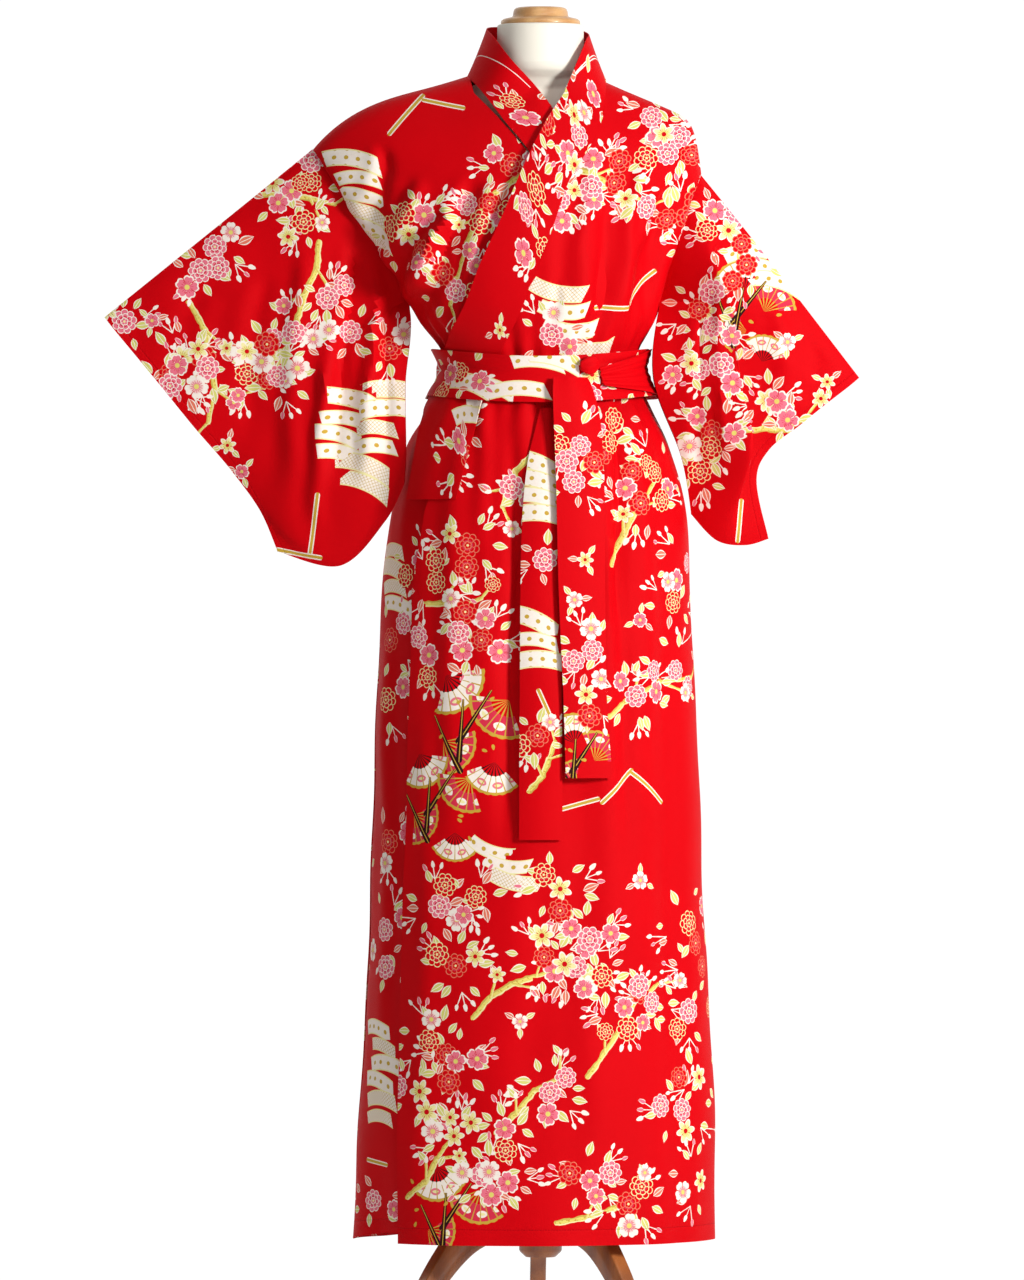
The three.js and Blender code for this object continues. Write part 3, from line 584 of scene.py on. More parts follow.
# Where things lie on each front, mm: c cluster of so many flowers, b bough, r ribbons, g gold rod,
# f fans of a size, s sprig; then x, z and the run.
frontPrint = {
    "sleeveRight": """
        c -289 1561 3 0, b -355 1544 96 -14, c -330 1534 2 0, c -298 1510 2 0, c -410 1479 3 0,
        c -428 1449 2 0, b -442 1409 28 -150, c -451 1339 3 0, c -419 1326 3 0, c -466 1304 3 0,
        b -279 1484 -70 -182, c -369 1319 3 0, c -331 1316 3 0, c -311 1371 3 0, c -344 1356 2 0,
        c -524 1385 2 0, s -394 1229 1 0, c -268 1414 2 0, c -239 1371 2 0, r -238 1286 -13 -67,
        r -186 1302 -33 -118, g -276 1166 -10 -77, g -332 1094 53 -10, c -191 1349 2 0,
        s -489 1386 1 0, s -376 1196 1 0""",
    "bodyRight": """
        g -189 1618 41 48, g -148 1666 49 -11, r -230 1589 21 -70, r -208 1501 -3 -12, c -165 1492 3 0,
        c -146 1516 2 0, b -26 1564 -85 -162, c -36 1578 3 0, c -76 1506 3 0, c -106 1421 3 0,
        c -64 1530 2 0, s -89 1471 1 0, s -156 1456 1 0, c -189 984 3 0, c -194 909 3 0,
        c -191 731 3 0, c -196 621 3 0, c -194 574 2 0, r -204 491 0 -110, g -214 329 23 -5,
        c -209 281 2 0, r -176 1102 -5 -68, c -151 1084 2 0""",
    "collarBand": """
        c -19 1638 3 0, c -6 1546 2 0, c 48 1615 3 0, c 66 1669 3 0, c 42 1578 2 0, c 5 1471 2 0,
        s -51 1371 1 0, c -89 1209 3 0, r -79 1290 -10 -19""",
    "bodyLeft": """
        b 31 1579 105 -51, c 42 1546 3 0, c 91 1556 3 0, c 131 1526 2 0, c 174 1616 3 0,
        c 139 1641 2 0, c 159 1594 2 0, r 20 1421 26 -72, g 69 1404 42 0, g 111 1404 28 42,
        c 14 1366 3 0, c 186 1515 3 0, c 196 1469 2 0, c 66 1586 2 0, c 24 1534 2 0, c -116 1249 3 0,
        c -134 1206 3 0, b -14 1211 -37 -59, c -91 1102 3 0, c -130 1056 3 0, b -146 1029 72 5,
        c 76 1215 3 0, c 91 1259 2 0, b 89 1078 53 106, c 142 1194 3 0, c 125 1155 3 0, c 186 1081 3 0,
        c 166 1031 2 0, c -74 984 4 0, c -94 1019 2 0, c -139 965 3 0, f -89 889 34 0, f -131 794 30 0,
        r -51 728 27 -39, c -126 652 3 0, c -81 664 2 0, b -84 514 110 57, c -106 578 3 0,
        c 24 674 3 0, c 44 576 4 0, c 4 589 3 0, c 61 611 3 0, c 76 565 2 0, g 30 769 44 12,
        g 74 781 35 39, g 109 820 37 -36, b 59 441 92 110, c 104 526 3 0, c 139 531 2 0, c 204 574 3 0,
        c 186 629 3 0, c 186 519 3 0, c 169 946 3 0, b 86 889 103 50, c 119 914 3 0, c -139 484 3 0,
        c -106 459 3 0, c -151 421 3 0, b -166 289 58 70, c -108 366 3 0, c 11 421 3 0,
        b -56 371 82 65, c -45 376 2 0, c -71 319 3 0, c -41 309 2 0, f -111 279 30 0, c 176 396 3 0,
        c 201 306 3 0, c 109 281 3 0, c 61 311 3 0, b 19 259 105 37, c 199 436 2 0, s 124 684 1 0,
        s -26 509 1 0, s 124 1009 1 0, c -14 1159 2 0""",
    "endLower": """
        r 0 1196 0 -62, r 0 1009 0 -50, g -6 921 12 -27, b -14 796 28 63, c 5 1084 2 0, c -4 865 2 0""",
    "endUpper": """
        c 49 1226 3 0, c 41 1181 2 0, c 64 971 3 0, c 56 916 3 0, f 49 844 26 0, s 55 1084 1 0,
        s 42 1034 1 0""",
    "sleeveLeft": """
        c 219 1524 2 0, c 236 1499 3 0, c 259 1456 3 0, f 261 1409 28 0, r 251 1471 28 -37,
        c 214 1371 3 0, c 226 1329 3 0, c 199 1399 3 0, c 189 1331 2 0, b 249 1246 82 23,
        c 216 1246 3 0, c 284 1286 2 0, c 201 1196 2 0, g 250 1161 -4 -50, c 214 1226 2 0,
        s 361 1309 1 0, s 311 1359 1 0, c 311 1261 2 0""",
    "beltWrap": """
        r -81 1301 55 -7, c -101 1319 2 0, r 5 1324 19 2, c 64 1316 2 0, c -126 1294 2 0,
        c 124 1309 2 0""",
}


def scatterRows(rng, low, high):  # the repeat as it falls on the backs and the hidden sides
    rows = []
    for row, z in enumerate(np.arange(low[1], high[1], 118)):
        for column, x in enumerate(np.arange(low[0] + 55 * (row % 2), high[0], 112)):
            px, pz = x + rng.uniform(-16, 16), z + rng.uniform(-16, 16)
            pick = (row * 3 + column * 2) % 7
            if pick in (0, 3):
                rows.append(("b", px, pz, rng.uniform(-90, 90), rng.uniform(60, 110)))
            if pick in (0, 1, 3, 4):
                rows.append(("c", px, pz, rng.choice([2, 3, 4]), 0))
            if pick == 2:
                rows.append(("r", px, pz, rng.uniform(-12, 12), -70))
            if pick == 5:
                rows.append(("g", px, pz, 40, 30))
                rows.append(("s", px + 30, pz - 30, 1, 0))
            if pick == 6:
                rows.append(("f", px, pz, 26, 0) if row % 3 == 0 else ("s", px, pz, 1, 0))
    return rows


def flatFinder(grid, flats, rows, sign):  # from a place seen from outside to the flat cloth
    part, flatPart = grid[rows], flats[rows]
    xs, zs, ys = part[..., 0], part[..., 2], part[..., 1] * sign
    down = np.gradient(part, axis=0)
    across = np.gradient(part, axis=1)
    flatDown, flatAcross = np.gradient(flatPart, axis=0), np.gradient(flatPart, axis=1)

    def find(x, z):
        distance = (xs - x) ** 2 + (zs - z) ** 2
        near = distance < distance.min() + 90
        k = np.argmin(np.where(near, ys + distance * 0.02, 1e9))
        i, j = divmod(int(k), xs.shape[1])
        a, b = across[i, j, 0], down[i, j, 0]
        c, d = across[i, j, 2], down[i, j, 2]
        det = a * d - b * c
        if abs(det) < 1.5:
            return flatPart[i, j]
        ex, ez = x - xs[i, j], z - zs[i, j]
        s, t = (d * ex - b * ez) / det, (a * ez - c * ex) / det
        return flatPart[i, j] + np.clip(s, -8, 8) * flatAcross[i, j] + np.clip(t, -8, 8) * flatDown[i, j]
    return find


def toFlat(find, motifs):
    flat = []
    for family, kind, x, z, angle, size in motifs:
        centre = find(x, z)
        arm = 4.0 if family != "branch" else max(size, 2.0)
        ahead = find(x + arm * math.cos(angle), z + arm * math.sin(angle))
        behind = find(x - arm * math.cos(angle), z - arm * math.sin(angle))
        run = ahead - behind
        if family == "branch":
            centre = (ahead + behind) / 2
            size = min(np.hypot(*run) / 2, 99.0)
        flat.append((family, kind, centre[0], centre[1], math.atan2(run[1], run[0]), size))
    return flat


def placeInRun(values):  # counts from 0 in each run of equal values
    count = np.arange(len(values))
    first = np.diff(values, prepend=-1) != 0
    return count - np.maximum.accumulate(np.where(first, count, 0))


def paintPrint(made, faces, flats, parts):
    corners = flats.reshape(-1, 2)[faces]
    centre = corners.mean(1)
    radius = np.hypot(*(corners - centre[:, None]).transpose(2, 0, 1)).max(1)
    whole = radius < spray["widestFace"]  # not where a closed ring's flat cloth starts again
    for family, slots in slotCounts.items():
        rows = [(*row, mask) for motifs, mask in parts for row in motifs if row[0] == family]
        hits = [np.zeros((3, 0))]
        for k, (name, kind, x, y, angle, size, mask) in enumerate(rows):
            dx, dy = centre[:, 0] - x, centre[:, 1] - y
            if family == "branch":
                along = np.clip(dx * math.cos(angle) + dy * math.sin(angle), -size, size)
                away = np.hypot(dx - along * math.cos(angle), dy - along * math.sin(angle)) - 5.0
            else:
                away = np.hypot(dx, dy) - size * reach[family]
            hit = np.nonzero((away < radius) & whole & mask)[0]
            hits.append(np.stack([hit, 0 * hit + k, away[hit]]))
        face, row, margin = np.concatenate(hits, 1)
        face, row = face.astype(int), row.astype(int)
        order = np.lexsort((margin, face))
        order = order[placeInRun(face[order]) < slots]  # a face keeps the motifs nearest to it
        face, row = face[order], row[order]
        order = np.lexsort((row, face))
        face, row = face[order], row[order]
        rank = placeInRun(face)
        values = [(x, y, angle, 100 * kind + min(size, 99)) for name, kind, x, y, angle, size, mask in rows]
        values = np.array(values or [(0, 0, 0, 0)])
        for slot in range(slots):
            data = np.zeros((len(faces), 4), np.float32)
            here = rank == slot
            data[face[here]] = values[row[here]]
            layer = made.data.attributes.new(f"{family}{slot}", "FLOAT_COLOR", "CORNER")
            layer.data.foreach_set("color", np.repeat(data, faces.shape[1], axis=0).ravel())


def dress(name, made, faces, grid, flats, frontRows, seed, backBox=None, backRows=None):
    # prints one piece of cloth and counts its motifs
    rng = random.Random(seed)
    motifs = []
    find = flatFinder(grid, flats, frontRows, 1)
    for item in filter(str.strip, frontPrint.get(name, "").split(",")):
        kind, *numbers = item.split()
        motifs += toFlat(find, drawRow(rng, kind, *map(float, numbers)))
    gridRow = (faces % grid[..., 0].size) // grid.shape[1]
    onFront = gridRow.max(1) < (frontRows.stop or len(grid))
    parts = [(motifs, onFront)]
    if backRows is not None:
        findBack = flatFinder(grid, flats, backRows, -1)
        behind = []
        for row in scatterRows(rng, *backBox):
            behind += toFlat(findBack, drawRow(rng, *row))
        parts.append((behind, ~onFront))
    paintPrint(made, faces, np.concatenate([flats, flats]), parts)
    return sum(len(part[0]) for part in parts)


def motifFrame(graph, inputs):  # the place on the cloth seen from a motif: x along it, y across, mm
    offset = graph.vector("SUBTRACT", inputs["Flat"], inputs["Slot"])
    values = {"Vector": offset, "Angle": graph.split(offset)[2]}
    x, y, rest = graph.split(graph.node("ShaderNodeVectorRotate", {"rotation_type": "Z_AXIS"}, values))
    kind = (inputs["Code"] / 100).maths("FLOOR")
    size = inputs["Code"] - kind * 100
    return x, y, kind, size


def isKind(kind, number):
    return kind.maths("COMPARE", float(number), 0.3)


def bloomGroup():
    tree, graph, inputs = startMotif("bloomMotif")
    ink = printColours
    x, y, kind, size = motifFrame(graph, inputs)
    far = (x * x + y * y).maths("SQRT") / size
    angle = y.maths("ARCTAN2", x)
    gold, double = isKind(kind, 3), kind.over(3.5)
    petal = abs((angle * (2.5 + 0.5 * gold)).maths("COSINE"))
    edge = 0.6 + 0.4 * (petal ** (0.5 + 1.1 * gold)) - 0.1 * (petal ** 14) * (1 - gold)
    single = far.under(edge) * (1 - petal.under(0.14) * far.over(0.3))
    pale = graph.mix(gold, graph.mix(isKind(kind, 2), ink["white"], ink["pink"]), ink["cream"])
    blush = graph.mix(far.under(0.62, 0.5), pale, graph.mix(gold, ink["pink"], ink["branch"]))
    face = graph.mix(far.over(edge - 0.13), blush, ink["white"])
    rays = abs((angle * 7.5).maths("SINE")).under(0.34) * far.over(0.2) * far.under(0.5)
    face = graph.mix(rays, face, graph.mix(gold, ink["rose"], ink["gold"]))
    face = graph.mix(far.under(0.2), face, graph.mix(gold, ink["branch"], ink["red"]))
    drawn = graph.mix(isKind(kind, 5), graph.mix(isKind(kind, 6), ink["white"], ink["salmon"]), ink["cream"])
    tip = graph.mix(isKind(kind, 4), ink["ground"], ink["pink"])
    pompon, outer = None, None
    for ring, petals, phase in ((3, 9, 0.0), (2, 7, 0.9), (1, 5, 0.3)):
        lobe = abs((angle * (petals / 2) + phase).maths("COSINE"))
        bound = ring / 3 * (0.8 + 0.2 * (lobe ** 0.6))
        line = 1 - (1 - far.over(bound - 0.075)) * (1 - lobe.under(0.2) * far.over(bound * 0.55))
        outer = bound if outer is None else outer
        petalFill = graph.mix(far.under(bound * 0.66), tip, ink["rose"]) if ring > 1 else tip
        layer = graph.mix(line, petalFill, drawn)
        pompon = layer if pompon is None else graph.mix(far.under(bound), pompon, layer)
    pompon = graph.mix(far.under(0.1), pompon, ink["cream"])
    mask = graph.blend(double, single, far.under(outer)) * kind.over(0.5)
    closeMotif(graph, graph.mix(mask, inputs["Base"], graph.mix(double, face, pompon)))
    return tree


def leafGroup():
    tree, graph, inputs = startMotif("leafMotif")
    ink = printColours
    x, y, kind, size = motifFrame(graph, inputs)
    along = x / (size * 0.5)
    body = (1 - along * along).maths("MAXIMUM", 0.0)
    bud = kind.over(2.5)
    wide = size * graph.blend(bud, (body ** 1.1) * 0.26, (body ** 0.5) * 0.28) * (1 - 0.25 * along)
    mask = abs(y).under(wide) * kind.over(0.5)
    fill = graph.mix(isKind(kind, 2), ink["leaf"], ink["salmon"])
    fill = graph.mix(isKind(kind, 3), fill, ink["white"])
    fill = graph.mix(isKind(kind, 4), fill, ink["pink"])
    fill = graph.mix(isKind(kind, 5), fill, ink["gold"])
    rim = abs(y).over(wide * 0.72) * (1 - isKind(kind, 5))
    vein = abs(y).under(0.42) * (1 - bud)
    lined = 1 - (1 - rim) * (1 - vein)
    closeMotif(graph, graph.mix(mask, inputs["Base"], graph.mix(lined, fill, ink["white"])))
    return tree


def branchGroup():
    tree, graph, inputs = startMotif("branchMotif")
    ink = printColours
    x, y, kind, size = motifFrame(graph, inputs)
    rod, stick = isKind(kind, 5), isKind(kind, 6)
    wide = (4.5 - kind * 0.98).maths("MAXIMUM", 0.6)
    knobs = graph.noise(inputs["Flat"], 0.09, 1.0) * 1.5 + 0.3
    wide = graph.blend(rod, wide * knobs, 3.1)
    wide = graph.blend(stick, wide, 2.6 * (1 - x / size * 0.5))
    beyond = (abs(x) - size).maths("MAXIMUM", 0.0)
    away = (beyond * beyond + y * y).maths("SQRT")
    mask = away.under(wide) * kind.over(0.5)
    marks = graph.noise(inputs["Flat"], 0.33, 2.0).over(0.6) * (1 - rod)
    bark = graph.mix(marks, ink["branch"], ink["gold"])
    bark = graph.mix((-y).over(wide * 0.5), bark, ink["bark"])
    bark = graph.mix(y.over(wide * 0.55), bark, ink["cream"])
    bark = graph.mix(isKind(kind, 4), bark, ink["white"])
    bark = graph.mix(rod, bark, graph.mix(abs(y).over(1.7), ink["gold"], ink["white"]))
    bark = graph.mix(stick, bark, graph.mix(abs(y).under(0.5), ink["black"], ink["gold"]))
    closeMotif(graph, graph.mix(mask, inputs["Base"], bark))
    return tree


def shapeGroup():
    tree, graph, inputs = startMotif("shapeMotif")
    ink = printColours
    x, y, kind, size = motifFrame(graph, inputs)
    fan = kind.over(2.5)
    bowed = y + (x * x) * 0.2 / size - size * 0.07
    half = size * 0.3
    ribbon = abs(bowed).under(half) * abs(x + bowed * 0.35).under(size * 0.97)
    cells = graph.node("ShaderNodeCombineXYZ", None, {0: x / 15 + 50, 1: bowed / 11 + 50.5})
    dx, dy, rest = graph.split(graph.vector("FRACTION", cells))
    drop = ((dx - 0.5) * (dx - 0.5) + (dy - 0.5) * (dy - 0.5) * 0.6).under(0.035)
    ruled = lambda way: abs((way * 0.62).maths("SINE")).under(0.2)
    lattice = isKind(kind, 2) * (ruled(x + bowed) + ruled(x - bowed)).over(0.5)
    dotted = graph.mix((1 - isKind(kind, 2)) * drop, ink["white"], ink["gold"])
    band = graph.mix(lattice, dotted, ink["gold"])
    band = graph.mix(abs(bowed).over(half * 0.84), band, ink["cream"])
    up = y + size * 0.62
    turn = x.maths("ARCTAN2", up)
    far = (x * x + up * up).maths("SQRT") / size
    inside = abs(turn).under(1.02)
    paper = inside * far.over(0.62) * far.under(1.42 + 0.04 * abs((turn * 13).maths("COSINE")))
    sticks = inside * far.under(0.64) * far.over(0.03) * abs((turn * 11).maths("SINE")).under(0.55)
    pleat = abs((turn * 11).maths("SINE")).under(0.22)
    sheet = graph.mix(isKind(kind, 4), ink["white"], ink["rose"])
    petals = abs((turn * 4.5).maths("SINE")) * (1 - abs(far - 1.03) * 3.2).maths("MAXIMUM", 0.0)
    sheet = graph.mix(petals.over(0.52), sheet, graph.mix(isKind(kind, 4), ink["pink"], ink["white"]))
    sheet = graph.mix(petals.over(0.8), sheet, ink["cream"])
    sheet = graph.mix(pleat, sheet, ink["gold"])
    sheet = graph.mix(far.over(1.33), sheet, ink["gold"])
    openFan = graph.mix(sticks, sheet, graph.mix(isKind(kind, 4), ink["black"], ink["gold"]))
    fanMask = 1 - (1 - paper) * (1 - sticks)
    mask = graph.blend(fan, ribbon, fanMask) * kind.over(0.5)
    closeMotif(graph, graph.mix(mask, inputs["Base"], graph.mix(fan, band, openFan)))
    return tree


cotton = {
    "roughness": 0.6, "sheen": 0.03, "sheenRoughness": 0.45, "sheenTint": (1.0, 0.2, 0.18, 1.0),
    "shine": 0.05, "thread": 0.62, "bumpDepth": 0.00006, "reverseFade": 0.45,
    "stitchUp": 20.0, "stitchLong": 3.4, "stitchColour": linear(120, 0, 8),
}
groups = {"shape": shapeGroup(), "branch": branchGroup(), "leaf": leafGroup(), "bloom": bloomGroup()}


def startMaterial(name):
    made = bpy.data.materials.new(name)
    made.use_nodes = True
    made.node_tree.nodes.clear()
    return made, Graph(made.node_tree)


def closeMaterial(graph, values, height=None, distance=0.001):
    if height is not None:
        bump = {"Height": height, "Strength": 1.0, "Distance": distance}
        values["Normal"] = graph.node("ShaderNodeBump", None, bump)
    shader = graph.node("ShaderNodeBsdfPrincipled", None, values)
    ending = graph.tree.nodes.new("ShaderNodeOutputMaterial")
    graph.tree.links.new(shader.socket, ending.inputs["Surface"])


def cottonMaterial():
    made, graph = startMaterial("printedCotton")
    ink = printColours
    uv = graph.node("ShaderNodeUVMap", {"uv_map": "flatCloth"})
    flat = graph.vector("SCALE", uv, 1000.0)
    broad = graph.noise(uv, 6.0, 2.0)
    colour = graph.mix(broad, ink["groundDeep"], ink["ground"])
    colour = graph.mix(0.55, colour, ink["ground"])
    for family, slots in slotCounts.items():
        for slot in range(slots):
            held = graph.stored(f"{family}{slot}")
            values = {"Flat": flat, "Slot": held.of("Vector"), "Code": held.of("Alpha"), "Base": colour}
            colour = graph.node("ShaderNodeGroup", {"node_tree": groups[family]}, values)
    x, y, rest = graph.split(flat)
    thread = 6.283 / cotton["thread"]
    weave = (x * thread).maths("SINE") * (y * thread).maths("SINE")
    uneven = graph.noise(flat, 0.35, 3.0)
    colour = graph.mix((uneven - 0.5) * 0.16 + 0.04, colour, ink["groundDeep"])
    colour = graph.mix(graph.stored("reverse", 2) * cotton["reverseFade"], colour, ink["groundDeep"])
    off = abs(graph.stored("hemRise", 2) - cotton["stitchUp"])
    groove = (1 - off / 3.0).maths("MAXIMUM", 0.0)
    stitch = off.under(0.5) * (x / cotton["stitchLong"] + y / cotton["stitchLong"]).maths("FRACT").over(0.25)
    pucker = (uneven - 0.5) * (1 - off / 16).maths("MAXIMUM", 0.0)
    colour = graph.mix(stitch * 0.45, colour, cotton["stitchColour"])
    rough = cotton["roughness"] + (uneven - 0.5) * 0.12
    height = weave * 0.5 + uneven * 1.5 - groove * 5.0 + pucker * 14.0
    closeMaterial(graph, {
        "Base Color": colour, "Roughness": rough, "Sheen Weight": cotton["sheen"],
        "Sheen Roughness": cotton["sheenRoughness"], "Sheen Tint": cotton["sheenTint"],
        "Specular IOR Level": cotton["shine"],
    }, height, cotton["bumpDepth"])
    return made


cottonCloth = cottonMaterial()
print("print and cotton ready")


def ripple(points, seed, height, wave):  # low uneven waves, the same for every layer that lies together
    rng = random.Random(seed)
    lift = np.zeros(points.shape[:-1])
    for k in range(7):
        turn = rng.uniform(-0.5, 0.5) + (0 if k % 3 else 1.2)
        size = wave * rng.uniform(0.6, 1.6)
        phase = rng.uniform(0, 6.3)
        across = points[..., 0] * math.cos(turn) + points[..., 2] * math.sin(turn)
        waves = across * 6.283 / size + phase + 0.7 * np.sin(points[..., 2] / (size * 1.3) + phase)
        lift += np.sin(waves) * height / 4
    return lift


# Creases: which side, x and z of the start, x and z of the end, depth, width.
bodyCreases = {
    "bodyLeft": [
        ("front", 64, 1592, 44, 1372, 5.4, 14), ("front", 96, 1600, 70, 1372, -5.1, 12),
        ("front", 128, 1588, 92, 1372, 6.1, 13), ("front", 158, 1560, 112, 1378, -5.8, 11),
        ("front", 182, 1530, 128, 1372, 4.4, 10), ("front", 30, 1430, 22, 1356, 3.7, 8),
        ("front", -60, 1296, -78, 930, -3.6, 14), ("front", -104, 1240, -120, 640, 3.6, 18),
        ("front", 88, 1296, 104, 980, -3.8, 13), ("front", 118, 1280, 142, 820, 3.8, 16),
        ("front", 76, 1290, 84, 480, 3.0, 22), ("front", -30, 1290, -26, 1080, 3.0, 11),
        ("front", 150, 1180, 172, 420, -3.5, 20), ("front", -140, 900, -150, 240, 2.6, 18),
        ("front", -32, 1240, -40, 700, -7.0, 13), ("front", -66, 1286, -74, 900, 5.0, 13),
        ("front", 96, 1286, 108, 700, -6.0, 12), ("front", 0, 700, -6, 236, -3.0, 30),
        ("front", 60, 620, 70, 236, 3.2, 26),
        ("back", 40, 1372, 52, 1600, 3.5, 16), ("back", 84, 1366, 108, 1560, -4.5, 15),
        ("back", 118, 1366, 150, 1540, 4.0, 14), ("back", 20, 1296, 26, 900, -3.0, 14),
        ("back", 62, 1296, 84, 700, 4.0, 18), ("back", 96, 1280, 122, 760, -4.2, 16),
        ("back", 140, 1100, 160, 300, 3.4, 22), ("back", 40, 620, 44, 236, 3.4, 26),
    ],
    "bodyRight": [
        ("front", -112, 1520, -170, 1412, 11.9, 15), ("front", -86, 1560, -150, 1392, -8.5, 13),
        ("front", -150, 1560, -196, 1448, 6.8, 15), ("front", -190, 1600, -214, 1500, -6.8, 14),
        ("front", -60, 1560, -104, 1400, 5.1, 12), ("front", -92, 1420, -108, 1356, 4.4, 8),
        ("front", -190, 1000, -196, 300, 5.1, 14), ("back", -44, 1372, -60, 1610, 3.8, 16),
        ("back", -90, 1366, -124, 1570, -4.8, 15), ("back", -126, 1366, -176, 1520, 4.2, 15),
        ("back", -24, 1296, -30, 860, 3.4, 14), ("back", -66, 1296, -88, 640, -4.2, 18),
        ("back", -104, 1280, -136, 700, 4.4, 17), ("back", -150, 1080, -172, 280, -3.6, 20),
        ("back", -60, 560, -64, 236, -3.4, 26),
    ],
}
gathers = {"aboveBelt": 1352, "belt": 1322, "belowBelt": 1292, "rise": 120, "drop": 170, "height": 2.3}


def gatherLift(points):  # short uneven gathers that run into the belt from above and below
    angle = np.arctan2(points[..., 0], -points[..., 1])
    z = points[..., 2]
    above = np.exp(-np.maximum(z - gathers["aboveBelt"], 0) / gathers["rise"] * 2.2)
    below = np.exp(-np.maximum(gathers["belowBelt"] - z, 0) / gathers["drop"] * 2.2)
    swing = np.sin(angle * 19 + 1.6 * np.sin(angle * 5)) + 0.6 * np.sin(angle * 31 + z / 40)
    return gathers["height"] * np.where(z > gathers["belt"], above, below) * swing


def bodyLift(points, rows, facing):
    hem = np.clip((cloth["hem"] + 190 - points[..., 2]) / 190, 0, 1)
    angle = np.arctan2(points[..., 0], -points[..., 1])
    sway = 3.2 * np.sin(angle * 8 + 0.8) * hem ** 1.5
    low = np.clip((1735 - points[..., 2]) / 60, 0, 1)
    return (creaseLift(points, rows, facing) + gatherLift(points) + ripple(points, 3, 1.6, 130)) * low + sway


def addLift(grid, lift, outward):
    normal = gridNormals(grid)
    facing = np.sign((normal * outward).sum(-1, keepdims=True))
    return grid + normal * np.where(facing == 0, 1, facing) * lift[..., None]


def frontLevels(step):
    heights = np.arange(cloth["hem"], 1700, step)
    found = np.interp(heights, levels["height"], np.arange(topLevel + 1))
    shoulder = topLevel - 2  # closer rows from here up
    fine = np.arange(shoulder, topLevel, 0.12)
    return np.concatenate([found[found < shoulder], fine, [topLevel - 0.07, topLevel]])


def bodySide(side):  # up the front from the hem, over the shoulder and down the back
    sign = -1 if side == "left" else 1
    layer = "under" if side == "left" else "over"
    edge = underEdge if side == "left" else overEdge
    steps = frontLevels(cloth["step"])
    columns = 62 if layer == "over" else 58
    seamGap = math.degrees(cloth["seam"] / 190)
    share = np.linspace(0, 1, columns)
    centre = smoothColumn(levels["height"], steps)
    x = np.interp(centre, edge["z"], edge["x"])
    across = np.where(x < 0, smoothColumn(levels["left"], steps), smoothColumn(levels["right"], steps))
    inner = np.degrees(np.arcsin(np.clip(x / across, -0.97, 0.97)))
    outer = sign * (90 - seamGap)
    angle = outer + (inner - outer)[:, None] * share
    front = bodyPoint(steps[:, None], angle, layerLift(layer, angle))
    neckX = abs(front[-1, -1, 0])
    back = steps[::-1][1:]
    wide = smoothColumn(levels[side], back)
    opening = neckX * np.clip((back - (topLevel - 2)) / 2, 0, 1) ** 0.7
    inner = 180 - np.degrees(np.arcsin(np.clip(np.maximum(opening, cloth["seam"]) / wide, 0, 1)))
    angle = sign * (90 + seamGap + (inner - 90 - seamGap)[:, None] * share)
    rear = bodyPoint(back[:, None], angle, 0.0)
    outward = lambda part: np.stack([part[..., 0] * 0.5, part[..., 1], 0 * part[..., 0]], -1)
    creases = bodyCreases["bodyRight" if side == "left" else "bodyLeft"]
    whole = np.concatenate([front, rear])
    flats = np.stack([flatGrid(whole, zeroAt=whole[..., 0])[..., 0], whole[..., 2]], -1)
    if layer == "under":
        nearHem = np.clip((cloth["hem"] + 100 - front[..., 2]) / 100, 0, 1)
        front[..., 2] += cloth["underHemRise"] * np.clip(4 * share, 0, 1) * nearHem
    front = addLift(front, bodyLift(front, creases, "front"), outward(front))
    rear = addLift(rear, bodyLift(rear, creases, "back"), outward(rear))
    return np.concatenate([front, rear]), flats, len(steps)


def storeFloats(made, name, values):
    layer = made.data.attributes.new(name, "FLOAT", "POINT")
    layer.data.foreach_set("value", np.asarray(values, np.float32).ravel())


def finishCloth(made, grid, outward, closedRows, hemRise=None):
    inner = np.zeros(len(grid) * grid.shape[1])
    outside = (gridNormals(grid, closedRows) * outward).sum() > 0  # the first side shows
    storeFloats(made, "reverse", np.concatenate([inner, inner + 1] if outside else [inner + 1, inner]))
    rise = inner - 1 if hemRise is None else hemRise.ravel()
    storeFloats(made, "hemRise", np.concatenate([rise, rise]))
    made.data.materials.append(cottonCloth)
    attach(made, "root")


bodies = {}
bodySides = (("right", "bodyLeft", "body_wearers_left"), ("left", "bodyRight", "body_wearers_right"))
for side, name, node in bodySides:
    grid, flats, frontCount = bodySide(side)
    made, faces = wallMesh(name, grid, flats)
    rows = slice(0, frontCount)
    backBox = ((-10, 250), (230, 1700)) if side == "right" else ((-240, 250), (20, 1700))
    count = dress(name, made, faces, grid, flats, rows, 11 + len(bodies), backBox, slice(frontCount, None))
    finishCloth(made, grid, grid * [1, 1, 0], False, flats[..., 1] - cloth["hem"])
    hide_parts(node)
    bodies[name] = made
    print("body side", name, count, "motifs", len(faces), "faces")


